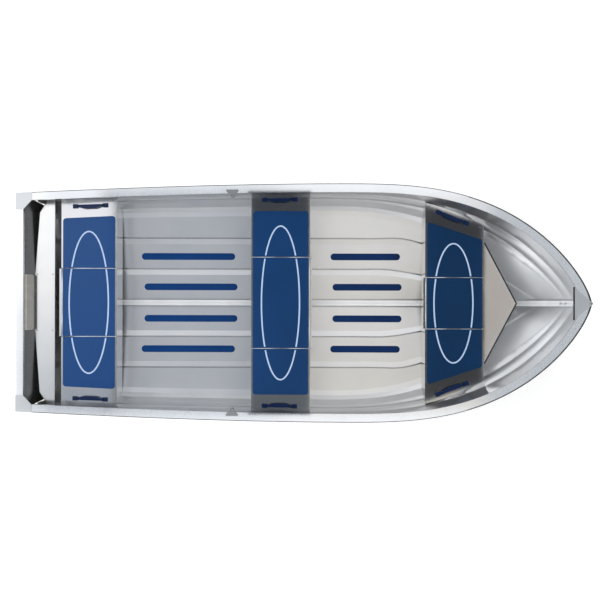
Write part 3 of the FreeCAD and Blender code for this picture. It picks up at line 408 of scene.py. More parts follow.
def phenolic_board():
    """Phenolic faced board of the motor pads: grey with streaks down the grain."""
    material, tree, shader, place = new_material("phenolic pad board")
    drawn = add_node(tree, "ShaderNodeMapping", {"Vector": place, "Scale": (0.15, 1.0, 0.12)}).outputs[0]
    streak = add_node(tree, "ShaderNodeTexNoise", {"Vector": drawn, "Scale": 1000 / STREAK_MM,
                                                   "Detail": 3.0}).outputs[0]
    tone = add_node(tree, "ShaderNodeMapRange", {"Value": streak, "From Min": 0.35, "From Max": 0.68})
    colour = add_node(tree, "ShaderNodeMix", {"Factor": tone.outputs[0], 6: linear("#A19E96"),
                                              7: linear("#AEABA3")}, data_type="RGBA")
    matt = add_node(tree, "ShaderNodeMapRange", {"Value": streak, "To Min": 0.4, "To Max": 0.58})
    fill(tree, shader, {"Base Color": colour.outputs[2], "Roughness": matt.outputs[0]})
    return material


def printed_line():
    """Pale blue ink printed on the mats, broken by a trace of the foam's skin."""
    material, tree, shader, place = new_material("pale printed line")
    grit = add_node(tree, "ShaderNodeTexNoise", {"Vector": place, "Scale": 1000 / PRINT_GRIT_MM,
                                                 "Detail": 2.0}).outputs[0]
    colour = add_node(tree, "ShaderNodeMix", {"Factor": grit, 6: linear("#A3BBDD"), 7: linear("#B5C9E5")},
                      data_type="RGBA")
    matt = add_node(tree, "ShaderNodeMapRange", {"Value": grit, "To Min": 0.45, "To Max": 0.6})
    fill(tree, shader, {"Base Color": colour.outputs[2], "Roughness": matt.outputs[0]})
    return material


# Finishes by the slots of the record, and some that the looks alone tell apart

FINISH_MAKERS = {
    "hull_sheet": pressed_aluminium, "seat_sheet": folded_aluminium, "edge_extrusion": anodised_extrusion,
    "casting": cast_aluminium, "steel": stainless_steel, "rub_rubber": rub_rubber, "mat_blue": foam_mat,
    "handle_blue": moulded_nylon, "pad": phenolic_board, "transom": transom_sheet_painted_dark,
    "socket": galvanised_casting, "keel_strip": oxidised_strip, "strip_blue": floor_foam,
    "line": printed_line,
}
OWN_FINISHES = {
    "floor_strips": "strip_blue", "transom": "transom", "rowlock_socket_port": "socket",
    "rowlock_socket_starboard": "socket", "keel_bar": "keel_strip", "keelson": "keel_strip",
}
FINISHES = {}


def finish_named(name):
    """The material of that name, made once."""
    if name not in FINISHES:
        FINISHES[name] = FINISH_MAKERS[name]()
    return FINISHES[name]


# Meshes

def mesh_object(name, verts, faces, material, smooth=False):
    """A new object of those corners and faces."""
    mesh = bpy.data.meshes.new(name)
    mesh.from_pydata([tuple(v) for v in verts], [], faces)
    for polygon in mesh.polygons:
        polygon.use_smooth = smooth
    mesh.materials.append(material)
    return linked(name, mesh)


def linked(name, mesh):
    """An object of that mesh, in the scene."""
    piece = bpy.data.objects.new(name, mesh)
    bpy.context.scene.collection.objects.link(piece)
    return piece


def outward(piece):
    """Merges doubles and turns the faces outwards."""
    work = bmesh.new()
    work.from_mesh(piece.data)
    bmesh.ops.remove_doubles(work, verts=work.verts, dist=TINY)
    bmesh.ops.recalc_face_normals(work, faces=work.faces)
    work.to_mesh(piece.data)
    work.free()


def fasten(piece, body):
    """The piece rides on its body."""
    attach(piece, body)


def surface_tree(node):
    """Search tree over a CAD node's surface."""
    mesh = NODES[node].data
    return BVHTree.FromPolygons([v.co for v in mesh.vertices], [list(p.vertices) for p in mesh.polygons])


def bead(verts, faces, start, end, half, low, high, steps=8):
    """Adds a bar with a rounded top between two places, to the lists of a mesh."""
    along = (end - start).normalized()
    side = Vector((-along.y, along.x, 0.0))
    middle = (low + high) / 2
    profile = [(-half, low)]
    for step in range(steps + 1):
        angle = math.pi * (1 - step / steps)
        profile.append((half * math.cos(angle), middle + (high - middle) * math.sin(angle)))
    profile.append((half, low))
    first = len(verts)
    for place in (start, end):
        verts += [place + side * across + UP * height for across, height in profile]
    join_rings(faces, first, len(profile), 2)


def join_rings(faces, first, count, rings):
    """Adds the faces of a tube through rings of corners, closed at both ends."""
    for ring in range(rings - 1):
        start = first + ring * count
        for i in range(count):
            j = (i + 1) % count
            faces.append([start + i, start + j, start + count + j, start + count + i])
    last = first + (rings - 1) * count
    faces.append([first + i for i in range(count)][::-1])
    faces.append([last + i for i in range(count)])


# Rivet heads by geometry nodes

HEAD_SEGMENTS = 12
HEAD_RINGS = 6
HEAD_TREE = "rivet heads"


def head_tree():
    """Geometry nodes: a low dome on every point of a cloud, standing on its facing attribute."""
    if HEAD_TREE in bpy.data.node_groups:
        return bpy.data.node_groups[HEAD_TREE]
    tree = bpy.data.node_groups.new(HEAD_TREE, "GeometryNodeTree")
    face = tree.interface
    face.new_socket("Geometry", in_out="INPUT", socket_type="NodeSocketGeometry")
    for name in ("Radius", "Height"):
        face.new_socket(name, in_out="INPUT", socket_type="NodeSocketFloat")
    face.new_socket("Material", in_out="INPUT", socket_type="NodeSocketMaterial")
    face.new_socket("Geometry", in_out="OUTPUT", socket_type="NodeSocketGeometry")
    given = add_node(tree, "NodeGroupInput").outputs
    ball = add_node(tree, "GeometryNodeMeshUVSphere", {"Segments": HEAD_SEGMENTS, "Rings": HEAD_RINGS,
                                                       "Radius": 1.0})
    size = add_node(tree, "ShaderNodeCombineXYZ", {"X": given["Radius"], "Y": given["Radius"],
                                                   "Z": given["Height"]})
    facing = add_node(tree, "GeometryNodeInputNamedAttribute", {"Name": "facing"}, data_type="FLOAT_VECTOR")
    turn = add_node(tree, "FunctionNodeAlignRotationToVector", {"Vector": facing.outputs[0]}, axis="Z")
    heads = add_node(tree, "GeometryNodeInstanceOnPoints",
                     {"Points": given["Geometry"], "Instance": ball.outputs["Mesh"],
                      "Rotation": turn.outputs[0], "Scale": size.outputs[0]})
    real = add_node(tree, "GeometryNodeRealizeInstances", {"Geometry": heads.outputs[0]})
    smooth = add_node(tree, "GeometryNodeSetShadeSmooth", {"Geometry": real.outputs[0]})
    painted = add_node(tree, "GeometryNodeSetMaterial", {"Geometry": smooth.outputs[0],
                                                         "Material": given["Material"]})
    add_node(tree, "NodeGroupOutput", {"Geometry": painted.outputs[0]})
    return tree


def heads_at(name, places, radius, height):
    """A plain mesh of steel heads at places that each have the direction they face."""
    tree = head_tree()
    mesh = bpy.data.meshes.new(name + "_points")
    mesh.from_pydata([tuple(place) for place, _ in places], [], [])
    facing = mesh.attributes.new("facing", "FLOAT_VECTOR", "POINT")
    facing.data.foreach_set("vector", [value for _, normal in places for value in normal])
    source = linked(name + "_points", mesh)
    modifier = source.modifiers.new("nodes", "NODES")
    modifier.node_group = tree
    sockets = {item.name: item.identifier for item in tree.interface.items_tree
               if item.item_type == "SOCKET" and item.in_out == "INPUT"}
    modifier[sockets["Radius"]] = radius
    modifier[sockets["Height"]] = height
    modifier[sockets["Material"]] = finish_named("steel")
    depsgraph = bpy.context.evaluated_depsgraph_get()
    result = bpy.data.meshes.new_from_object(source.evaluated_get(depsgraph))
    result.name = name
    bpy.data.objects.remove(source)
    piece = linked(name, result)
    fasten(piece, "hull")


def spaced(points, spacing):
    """Points at an even spacing along a line of points."""
    kept = [points[0]]
    travelled = 0.0
    for a, b in zip(points, points[1:]):
        run = (b - a).length
        while run > 0 and travelled + run >= spacing:
            a = a + (b - a) * ((spacing - travelled) / run)
            kept.append(a.copy())
            run = (b - a).length
            travelled = 0.0
        travelled += run
    return kept


def both_sides(places):
    """The places to port, and the same to starboard."""
    return places + [(Vector((p.x, -p.y, p.z)), Vector((n.x, -n.y, n.z))) for p, n in places]


def gunwale_outside(mesh, x):
    """Where the port gunwale is widest and highest, at that place along the boat."""
    cuts = []
    for edge in mesh.edges:
        a, b = (mesh.vertices[i].co for i in edge.vertices)
        if (a.x - x) * (b.x - x) < 0:
            cuts.append(a.lerp(b, (x - a.x) / (b.x - a.x)))
    return Vector((x, max(c.y for c in cuts), max(c.z for c in cuts)))


# Pieces

class BOAT_OT_finishes(bpy.types.Operator):
    """Gives every CAD node its material"""
    bl_idname = "boat.finishes"
    bl_label = "Finishes"

    def execute(self, context):
        for row in SUBPARTS:
            materials = NODES[row["node"]].data.materials
            materials.clear()
            materials.append(finish_named(OWN_FINISHES.get(row["node"], row["material_slot"])))
        return {"FINISHED"}


class BOAT_OT_pressed_sheet(bpy.types.Operator):
    """Rounds the shading of hull panels, gunwales and rub strips, most on the sides and towards the bow"""
    bl_idname = "boat.pressed_sheet"
    bl_label = "Pressed sheet"

    def execute(self, context):
        for kind in ("hull_bottom", "hull_side", "gunwale", "rub_strip"):
            for side in SIDES:
                self.smooth(kind, "%s_%s" % (kind, side), context.scene.boat_sheet)
        return {"FINISHED"}

    def smooth(self, kind, node, shaping):
        work = bmesh.new()
        work.from_mesh(NODES[node].data)
        bmesh.ops.remove_doubles(work, verts=work.verts, dist=TINY)
        for edge in work.edges:
            middle = (edge.verts[0].co + edge.verts[1].co) / 2
            soft = kind == "hull_side" or (kind == "hull_bottom" and middle.x > shaping.soft_from)
            limit = shaping.soft_angle if soft else shaping.crease_angle
            edge.smooth = len(edge.link_faces) == 2 and edge.calc_face_angle() < limit
        for face in work.faces:
            face.smooth = True
        mesh = bpy.data.meshes.new(node + "_sheet")
        work.to_mesh(mesh)
        work.free()
        for material in NODES[node].data.materials:
            mesh.materials.append(material)
        piece = linked(node + "_sheet", mesh)
        fasten(piece, "hull")
        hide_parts(node)


def inner_edge(seat):
    """Where the port side mat of a seat starts, out from the middle."""
    return min(v.co.y for v in NODES["mats_" + seat].data.vertices if v.co.y > 0)


class BOAT_OT_lid_hems(bpy.types.Operator):
    """Rolls a pale hem along the sides and the free edge of each lid"""
    bl_idname = "boat.lid_hems"
    bl_label = "Lid hems"

    def execute(self, context):
        for seat in SEATS:
            self.hem(seat, context.scene.boat_hems)
        return {"FINISHED"}

    def hem(self, seat, sizes):
        low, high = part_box("lid_" + seat)
        mat_low, mat_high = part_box("lid_mat_" + seat)
        side_gap = inner_edge(seat) - mat_high.y
        y = mat_high.y + side_gap / 2
        verts = []
        faces = []
        for out in (-1, 1):
            ends = [Vector((x, out * y, 0)) for x in (low.x + sizes.inset, high.x - sizes.inset)]
            bead(verts, faces, *ends, side_gap / 2 - sizes.clearance, high.z - sizes.root,
                 mat_high.z + sizes.proud)
        free_ahead = high.x - mat_high.x > mat_low.x - low.x
        x = mat_high.x + sizes.edge_place if free_ahead else mat_low.x - sizes.edge_place
        bead(verts, faces, Vector((x, -y, 0)), Vector((x, y, 0)), sizes.edge_half,
             high.z - sizes.edge_rise, mat_high.z + sizes.edge_rise)
        piece = mesh_object("lid_hem_" + seat, verts, faces, finish_named("edge_extrusion"), smooth=True)
        outward(piece)
        fasten(piece, "lid_" + seat)


OVAL_STEPS = 360
BEYOND_MATS = 9.0      # further out than any mat


class BOAT_OT_mat_lines(bpy.types.Operator):
    """Draws the thin oval line across each seat's lid and the mats beside it"""
    bl_idname = "boat.mat_lines"
    bl_label = "Oval lines on the mats"

    def execute(self, context):
        sizes = context.scene.boat_mats
        halves = (sizes.aft_half, sizes.middle_half, sizes.front_half)
        for seat, centre, half in zip(SEATS, sizes.centres, halves):
            lid_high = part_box("lid_mat_" + seat)[1]
            side_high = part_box("mats_" + seat)[1]
            self.line("lid_" + seat, centre, half, (0.0, lid_high.y - sizes.line_inset), lid_high.z, sizes,
                      "lid_" + seat)
            self.line("side_" + seat, centre, half, (inner_edge(seat) + sizes.line_inset, BEYOND_MATS),
                      side_high.z, sizes, "hull")
        return {"FINISHED"}

    def line(self, part, centre, half, band, z, sizes, body):
        """The stretches of the oval whose distance from the middle is inside the band."""
        verts = []
        faces = []
        for step in range(OVAL_STEPS):
            turns = (math.tau * end / OVAL_STEPS for end in (step, step + 1))
            (a, b), (c, d) = (self.across(turn, centre, half, z, sizes.line_width / 2) for turn in turns)
            if not all(band[0] <= abs(p.y) <= band[1] for p in (a, b, c, d)):
                continue
            top = UP * sizes.line_height
            start = len(verts)
            verts += [a, b, d, c, a + top, b + top, d + top, c + top]
            faces += [[start + i for i in f] for f in ((4, 5, 6, 7), (0, 1, 5, 4), (1, 2, 6, 5), (2, 3, 7, 6),
                                                       (3, 0, 4, 7), (3, 2, 1, 0))]
        piece = mesh_object("oval_line_" + part, verts, faces, finish_named("line"))
        outward(piece)
        fasten(piece, body)

    def across(self, angle, centre, half, z, width):
        """The inner and outer corner of the line, at that angle."""
        normal = Vector((math.cos(angle) / half[0], math.sin(angle) / half[1], 0)).normalized()
        middle = Vector((centre + half[0] * math.cos(angle), half[1] * math.sin(angle), z))
        return middle - normal * width, middle + normal * width


BEYOND = 0.05             # rays that look for a surface nearby start this far from it
END_STEP = 0.002          # steps of the search for a thwart's end
ROW_STEP = 0.01           # steps of the search along the gunwale
OUTSIDE_BOAT = 1.2        # where rays that look for the gunwale start
RAIL_FALL = 0.015         # a station this far below the one aft of it isn't the gunwale's top


class BOAT_OT_rivets(bpy.types.Operator):
    """Sets the rivet heads of the seats, the stern cover, the bow box and the gunwale"""
    bl_idname = "boat.rivets"
    bl_label = "Rivets"

    def execute(self, context):
        sizes = context.scene.boat_rivets
        places = self.cover(sizes.cover_inset) + self.bow_box(sizes.bow_place)
        places += self.thwart_ends(sizes.seat_inset) + self.gunwale_row(sizes)
        heads_at("rivet_heads", places, sizes.radius, sizes.height)
        return {"FINISHED"}

    def cover(self, inset):
        """One rivet near each corner of the stern cover."""
        low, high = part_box("shelf_cover")
        return [(Vector((x, y, high.z)), UP) for x in (low.x + inset[0], high.x - inset[0])
                for y in (low.y + inset[1], high.y - inset[1])]

    def bow_box(self, place):
        """Two rivets near the tip of the bow box."""
        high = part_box("bow_box")[1]
        return [(Vector((high.x - place[0], y, high.z)), UP) for y in (place[1], -place[1])]

    def thwart_ends(self, inset):
        """Two rivets near each end of a thwart's top."""
        places = []
        for seat in SEATS:
            low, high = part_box("thwart_" + seat)
            tree = surface_tree("thwart_" + seat)
            for x in (low.x + inset[0], high.x - inset[0]):
                y = high.y
                while y > 0 and not tree.ray_cast(Vector((x, y, high.z + BEYOND)), DOWN)[0]:
                    y -= END_STEP
                places.append((Vector((x, y - inset[1], high.z)), UP))
        return both_sides(places)

    def gunwale_row(self, sizes):
        """A row on the outside of the gunwale's lip, below the rub strip."""
        tree = surface_tree("gunwale_port")
        tops = self.top_line(NODES["gunwale_port"].data)
        low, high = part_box("gunwale_port")
        points = []
        x = low.x + sizes.row_ends[0]
        while x < high.x - sizes.row_ends[1]:
            hit = self.from_outside(tree, Vector((x, OUTSIDE_BOAT, self.height_at(tops, x) - sizes.row_drop)))
            if hit[0]:
                points.append(hit[0])
            x += ROW_STEP
        starts = [point + Vector((0, BEYOND, 0)) for point in spaced(points, sizes.spacing)]
        hits = [self.from_outside(tree, start) for start in starts]
        return both_sides([(hit[0], hit[1]) for hit in hits if hit[0]])

    def from_outside(self, tree, start):
        """First hit of a ray that runs inboard from the port side."""
        return tree.ray_cast(start, Vector((0, -1, 0)))

    def top_line(self, mesh):
        """Places and heights along the top of a rail, one for each station of its mesh."""
        tops = {}
        for vert in mesh.vertices:
            x = round(vert.co.x, 2)
            tops[x] = max(tops.get(x, -1.0), vert.co.z)
        line = []
        for x, z in sorted(tops.items()):
            if not line or z > line[-1][1] - RAIL_FALL:
                line.append((x, z))
        return line

    def height_at(self, tops, x):
        """Height of the rail's top at that place, between its stations."""
        for (x0, z0), (x1, z1) in zip(tops, tops[1:]):
            if x0 <= x <= x1:
                return z0 + (z1 - z0) * (x - x0) / (x1 - x0)
        return tops[-1][1]


class BOAT_OT_breasthook_bolt(bpy.types.Operator):
    """Adds the bolt at the tip of the breasthook"""
    bl_idname = "boat.breasthook_bolt"
    bl_label = "Breasthook bolt"

    def execute(self, context):
        sizes = context.scene.boat_bow
        start = Vector((sizes.bolt_place, 0.0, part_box("bow_fittings")[1].z + BEYOND))
        hit = surface_tree("bow_fittings").ray_cast(start, DOWN)
        if not hit[0]:
            raise RuntimeError("The breasthook isn't under its bolt")
        heads_at("breasthook_bolts", [(hit[0], hit[1])], sizes.bolt_radius, sizes.bolt_height)
        return {"FINISHED"}


# Black strips of painted shade along the bow box and the breasthook's aft edge
BOX_TOP_SKIN = 0.001      # corners of the bow box this near its highest one are on its top
BOX_SHADE_LINE_OUT = 0.004      # the shade strip starts ahead of the box's corner
BOX_SHADE_LINE_ROOT = 0.004     # how deep the box's shade strip starts
BOX_SHADE_LINE_PROUD = 0.003
CORNER_LEAN = 0.1         # prefers the aftmost of the widest corners
HOOK_AFT = 1.856          # aft edge of the breasthook
HOOK_AFT_HALF = 0.112     # half the length of that edge
HOOK_SHADE_LINE_OUT = 0.003     # its shade strip stands aft of it
HOOK_SHADE_LINE_ROOT = 0.012
HOOK_SHADE_LINE_PROUD = 0.001
HOOK_PROBE = (0.006, 0.05)   # a place on the plate, ahead of its aft edge and out from the middle
ABOVE_BOAT = 2.0
LIP_STEPS = 40
LIP_OUT = 0.003           # how far the lip stands outside the gunwale
LIP_DROP = 0.010          # how far it reaches down the gunwale's side
LIP_FOOT = 0.002          # how far its lower edge reaches inboard
LIP_ROOT = 0.001          # how deep its inboard edge starts
LIP_TIP = 0.010           # the stem's face, ahead of the lip's last station


class BOAT_OT_bow_edges(bpy.types.Operator):
    """Adds black strips of painted shade along the bow box and the breasthook, and the rub strip's lip around
    the bow
    """
    bl_idname = "boat.bow_edges"
    bl_label = "Bow edges"

    def execute(self, context):
        sizes = context.scene.boat_bow
        self.shade_line_strips(sizes.shade_line_half)
        self.rub_lip(sizes)
        return {"FINISHED"}

    def shade_line_strips(self, half):
        """Black strips along the V of the bow box and the aft edge of the breasthook: painted shade lines,
        standing in for the shadow at these edges.
        """
        verts = []
        faces = []
        box_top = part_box("bow_box")[1].z - BOX_TOP_SKIN
        top = [v.co for v in NODES["bow_box"].data.vertices if v.co.z > box_top]
        tip = max(top, key=lambda co: co.x)
        for out in (-1, 1):
            corner = max(top, key=lambda co: out * co.y - co.x * CORNER_LEAN)
            bead(verts, faces, Vector((corner.x + BOX_SHADE_LINE_OUT, corner.y, 0)), Vector((tip.x, 0, 0)), half,
                 corner.z - BOX_SHADE_LINE_ROOT, corner.z + BOX_SHADE_LINE_PROUD)
        probe = Vector((HOOK_AFT + HOOK_PROBE[0], HOOK_PROBE[1], ABOVE_BOAT))
        plate = surface_tree("bow_fittings").ray_cast(probe, DOWN)[0]
        x = HOOK_AFT - HOOK_SHADE_LINE_OUT
        bead(verts, faces, Vector((x, -HOOK_AFT_HALF, 0)), Vector((x, HOOK_AFT_HALF, 0)), half,
             plate.z - HOOK_SHADE_LINE_ROOT, plate.z + HOOK_SHADE_LINE_PROUD)
        # painted shade: a black rubber finish on strips that stand in for shadow lines
        piece = mesh_object("bow_shade_lines", verts, faces, finish_named("rub_rubber"), smooth=True)
        outward(piece)
        fasten(piece, "hull")

    def rub_lip(self, sizes):
        """The lip of the rub strip over the gunwale's outer edge, wider towards the stem."""
        mesh = NODES["gunwale_port"].data
        run = sizes.lip_end - sizes.lip_start
        line = [gunwale_outside(mesh, sizes.lip_start + run * i / (LIP_STEPS - 1)) for i in range(LIP_STEPS)]
        line.append(Vector((sizes.lip_end + LIP_TIP, 0.0, line[-1].z)))
        verts = []
        faces = []
        for out in (1, -1):
            first = len(verts)
            for i, edge in enumerate(line):
                along = line[min(i + 1, LIP_STEPS)] - line[max(i - 1, 0)]
                inboard = Vector((along.y, -along.x, 0.0)).normalized()
                profile = self.lip_profile(sizes, i / LIP_STEPS)
                for across, height in profile:
                    place = edge + inboard * across + UP * height
                    verts.append(Vector((place.x, out * place.y, place.z)))
            join_rings(faces, first, len(profile), len(line))
        piece = mesh_object("rub_strip_lip", verts, faces, finish_named("rub_rubber"))
        outward(piece)
        fasten(piece, "hull")

    def lip_profile(self, sizes, share):
        """Cross section of the lip: places inboard of the gunwale's edge, and heights."""
        width = sizes.lip_narrow + (sizes.lip_wide - sizes.lip_narrow) * share
        return ((-LIP_OUT, -LIP_DROP), (-LIP_OUT, 0.0), (0.0, sizes.lip_thick), (width, sizes.lip_thick),
                (width, -LIP_ROOT), (LIP_FOOT, -LIP_DROP))


# Stage

LAMPS = (   # name, place, size and watts
    ("port box", (-0.5, 4.6, 7.0), (8.0, 3.0), 260.0),
    ("starboard box", (-0.5, -4.6, 7.0), (8.0, 3.0), 230.0),
    ("stern box", (-6.5, 0.0, 7.0), (3.0, 5.0), 120.0),
)
# Studio cards stand in for a real studio's reflections. Only glossy rays see them, and each is named for the
# bare metal that mirrors it. A row holds its aft and fore end, its half-width at both, its strength, and its
# tone to port and to starboard.
HIGH_CARDS = (
    ("rail", -2.90, -2.09, 0.84, 0.84, 1.35, "#FFFFFF", "#F6F8FA"),
    ("shelf", -2.09, -1.90, 0.84, 0.84, 1.28, "#FFFFFF", "#BFC3C7"),
    ("aft thwart", -1.90, -1.45, 0.84, 0.84, 1.1, "#F8FAFF", "#A0A6AF"),
    ("aft thwart's face", -1.47, -1.385, 0.84, 0.84, 1.0, "#6C6865", "#6C6865"),
    ("aft bay", -1.45, -0.16, 0.84, 0.84, 1.0, "#B7BCC4", "#B7BCC4"),
    ("fore bay", -0.16, 1.25, 0.84, 0.79, 0.94, "#F8F7F6", "#E6E1D8"),
    ("bow box", 1.42, 1.70, 0.49, 0.0, 1.0, "#BFB8B1", "#BDB6AF"),
    ("bow", 1.25, 2.90, 0.72, 0.72, 0.85, "#D6DAE0", "#D6DAE0"),
)
# These hang over a thwart and glow downwards. A row holds their height in place of the strength.
LOW_CARDS = (
    ("middle thwart", -0.368, 0.071, 0.785, 0.785, 0.50, "#40454B", "#62676D"),
    ("front thwart", 0.89, 1.35, 0.735, 0.585, 0.53, "#35363A", "#3C3D3F"),
)
# A wide card hangs over each side, and one stands beyond the side opposite: its sign, and both strengths.
SIDE_CARDS = (("port", 1, 1.2, 1.1), ("starboard", -1, 1.3, 1.5))
# Upright cards aft of the bow panels, which mirror them: starboard edge, port edge, strength.
BOW_CARDS = (
    ("outer starboard", -0.60, 0.0, 1.0),
    ("inner port", 0.0, 0.20, 2.0),
    ("outer port", 0.20, 0.60, 0.15),
)
CARD_WHITE = "#FAFCFF"
CARD_BOW_GREY = "#C9CDD3"
CARD_LAYER = 0.002        # each high card hangs this far above the one before it
WIDE_LIFT = 0.03          # the wide cards hang above the high ones
WIDE_AFT = -2.9
WIDE_SPLIT = 1.2          # a wide card is white aft of this place and grey ahead of it
WIDE_FORE = 2.9
WIDE_OUT = 1.6
BESIDE_REACH = 3.2        # half the length of the cards beside the boat
BESIDE_OUT = 2.6
BESIDE_LOW = 0.4
BESIDE_TALL = 2.6
BOW_CARD_PLACE = 1.302
BOW_CARD_LOW = 0.30
BOW_CARD_TALL = 0.64
TONE_RUN = (-0.7, 0.5)    # a card's tone runs from starboard to port between these places
MIDDLE_SKIN = 0.001       # a corner of the waterline this near the middle is left out
STEM_GAP = 0.002          # the floor's opening reaches this far ahead of the stem
FLOOR_CORNERS = 96
FLOOR_GLOW = 0.25         # lifts the floor to white where it is seen, and leaves the boat's shadow
WORLD_LIGHT = 0.55


def seen_plainly(tree):
    """1 for rays from the camera, a mirror or glass, and 0 for those that gather light on the boat."""
    path = add_node(tree, "ShaderNodeLightPath").outputs
    seen = add_node(tree, "ShaderNodeMath", {0: path["Is Camera Ray"], 1: path["Is Glossy Ray"]},
                    operation="ADD")
    return add_node(tree, "ShaderNodeMath", {0: seen.outputs[0], 1: path["Is Transmission Ray"]},
                    operation="ADD", use_clamp=True).outputs[0]


def level(aft, fore, aft_half, fore_half, z):
    """Corners of a level card. It faces up, or down where the halves are negative."""
    return [(aft, -aft_half, z), (fore, -fore_half, z), (fore, fore_half, z), (aft, aft_half, z)]


def rectangle(start, first, second):
    """Corners of a rectangle with that corner and those two sides."""
    start, first, second = (Vector(place) for place in (start, first, second))
    return [start, start + first, start + first + second, start + second]


class BOAT_OT_stage(bpy.types.Operator):
    """Sets the pale floor at the waterline, the light and the camera"""
    bl_idname = "boat.stage"
    bl_label = "Stage"

    def execute(self, context):
        sizes = context.scene.boat_stage
        self.floor(sizes.floor_reach)
        self.world(context.scene)
        self.lamps()
        self.cards_over(sizes.card_height)
        self.cards_around(sizes.card_height + WIDE_LIFT)
        self.camera(context.scene, sizes)
        return {"FINISHED"}

    def camera(self, scene, sizes):
        camera = bpy.data.cameras.new("camera")
        camera.lens = sizes.lens
        camera.sensor_width = 36.0
        camera.clip_end = 100.0
        camera.shift_y = sizes.camera_shift
        holder = bpy.data.objects.new("camera", camera)
        holder.location = (sizes.camera_place, 0.0, sizes.camera_height)
        holder.rotation_euler = (0.0, 0.0, sizes.camera_turn)
        scene.collection.objects.link(holder)
        scene.camera = holder
        scene.view_settings.view_transform = "Standard"

    def waterline(self):
        """Outline of the hull at the waterline, port side, from stern to bow."""
        work = bmesh.new()
        for name in ("hull_bottom_port", "hull_side_port", "transom", "keel_bar"):
            work.from_mesh(NODES[name].data)
        cut = bmesh.ops.bisect_plane(work, geom=work.verts[:] + work.edges[:] + work.faces[:],
                                     plane_co=(0, 0, 0), plane_no=(0, 0, 1))
        points = sorted((v.co.x, v.co.y) for v in cut["geom_cut"] if isinstance(v, bmesh.types.BMVert))
        work.free()
        outer = []
        for x, y in points:
            while len(outer) > 1 and ((outer[-1][0] - outer[-2][0]) * (y - outer[-2][1])
                                      - (outer[-1][1] - outer[-2][1]) * (x - outer[-2][0])) >= 0:
                outer.pop()
            outer.append((x, y))
        low, high = outer[0][0], outer[-1][0]
        return [(low, 0.0)] + [p for p in outer if p[1] > MIDDLE_SKIN] + [(high + STEM_GAP, 0.0)]

    def floor(self, reach):
        """A round floor at the waterline, open under the hull."""
        port = self.waterline()
        hull = port + [(x, -y) for x, y in port[-2:0:-1]]
        turns = [math.tau * i / FLOOR_CORNERS for i in range(FLOOR_CORNERS)]
        rim = [(reach * math.cos(turn), reach * math.sin(turn)) for turn in turns]
        work = bmesh.new()
        for loop in (hull, rim):
            corners = [work.verts.new((x, y, 0.0)) for x, y in loop]
            for a, b in zip(corners, corners[1:] + corners[:1]):
                work.edges.new((a, b))
        bmesh.ops.triangle_fill(work, edges=work.edges[:], use_beauty=True, normal=(0, 0, 1))
        mesh = bpy.data.meshes.new("studio_floor")
        work.to_mesh(mesh)
        work.free()
        material, tree, shader, _ = new_material("pale studio floor")
        glow = add_node(tree, "ShaderNodeMapRange", {"Value": seen_plainly(tree), "To Max": FLOOR_GLOW})
        fill(tree, shader, {"Base Color": linear("#F4F4F4"), "Roughness": 0.9,
                            "Emission Color": linear("#FFFFFF"), "Emission Strength": glow.outputs[0]})
        mesh.materials.append(material)
        linked("studio_floor", mesh)

    def world(self, scene):
        """White where it is seen, and a plain level of light on the boat."""
        world = bpy.data.worlds.new("studio")
        scene.world = world
        world.use_nodes = True
        tree = world.node_tree
        tree.nodes.clear()
        strength = add_node(tree, "ShaderNodeMapRange", {"Value": seen_plainly(tree), "To Min": WORLD_LIGHT})
        back = add_node(tree, "ShaderNodeBackground", {"Color": linear("#FFFFFF"),
                                                       "Strength": strength.outputs[0]})
        add_node(tree, "ShaderNodeOutputWorld", {"Surface": back.outputs[0]})

    def lamps(self):
        for name, place, size, watts in LAMPS:
            light = bpy.data.lights.new(name, "AREA")
            light.shape = "RECTANGLE"
            light.size, light.size_y = size
            light.energy = watts
            lamp = bpy.data.objects.new(name, light)
            lamp.location = place
            lamp.rotation_mode = "QUATERNION"
            lamp.rotation_quaternion = (-Vector(place)).to_track_quat("-Z", "Y")
            lamp.visible_camera = False
            lamp.visible_glossy = False
            bpy.context.scene.collection.objects.link(lamp)

    def cards_over(self, height):
        """The cards over the boat."""
        for layer, (name, aft, fore, aft_half, fore_half, strength, port, starboard) in enumerate(HIGH_CARDS):
            corners = level(aft, fore, aft_half, fore_half, height + CARD_LAYER * layer)
            self.card(name, corners, strength, port, starboard)
        for name, aft, fore, aft_half, fore_half, z, port, starboard in LOW_CARDS:
            corners = level(aft, fore, -aft_half, -fore_half, z)
            self.card(name, corners, 1.0, port, starboard, one_sided=True)

    def cards_around(self, z):
        """The wide cards over and beside the boat, and the upright ones aft of the bow panels."""
        for side, out, wide, beside in SIDE_CARDS:
            across = (0, out * WIDE_OUT, 0)
            corners = rectangle((WIDE_AFT, 0, z), (WIDE_SPLIT - WIDE_AFT, 0, 0), across)
            self.card("wide " + side, corners, wide, CARD_WHITE, CARD_WHITE)
            corners = rectangle((WIDE_SPLIT, 0, z), (WIDE_FORE - WIDE_SPLIT, 0, 0), across)
            self.card("wide bow " + side, corners, wide, CARD_BOW_GREY, CARD_BOW_GREY)
            corners = rectangle((-BESIDE_REACH, -out * BESIDE_OUT, BESIDE_LOW), (2 * BESIDE_REACH, 0, 0),
                                (0, 0, BESIDE_TALL))
            self.card("beside " + side, corners, beside, CARD_WHITE, CARD_WHITE)
        for name, start, end, strength in BOW_CARDS:
            corners = rectangle((BOW_CARD_PLACE, start, BOW_CARD_LOW), (0, end - start, 0),
                                (0, 0, BOW_CARD_TALL))
            self.card("behind the bow " + name, corners, strength, CARD_WHITE, CARD_WHITE, one_sided=True)

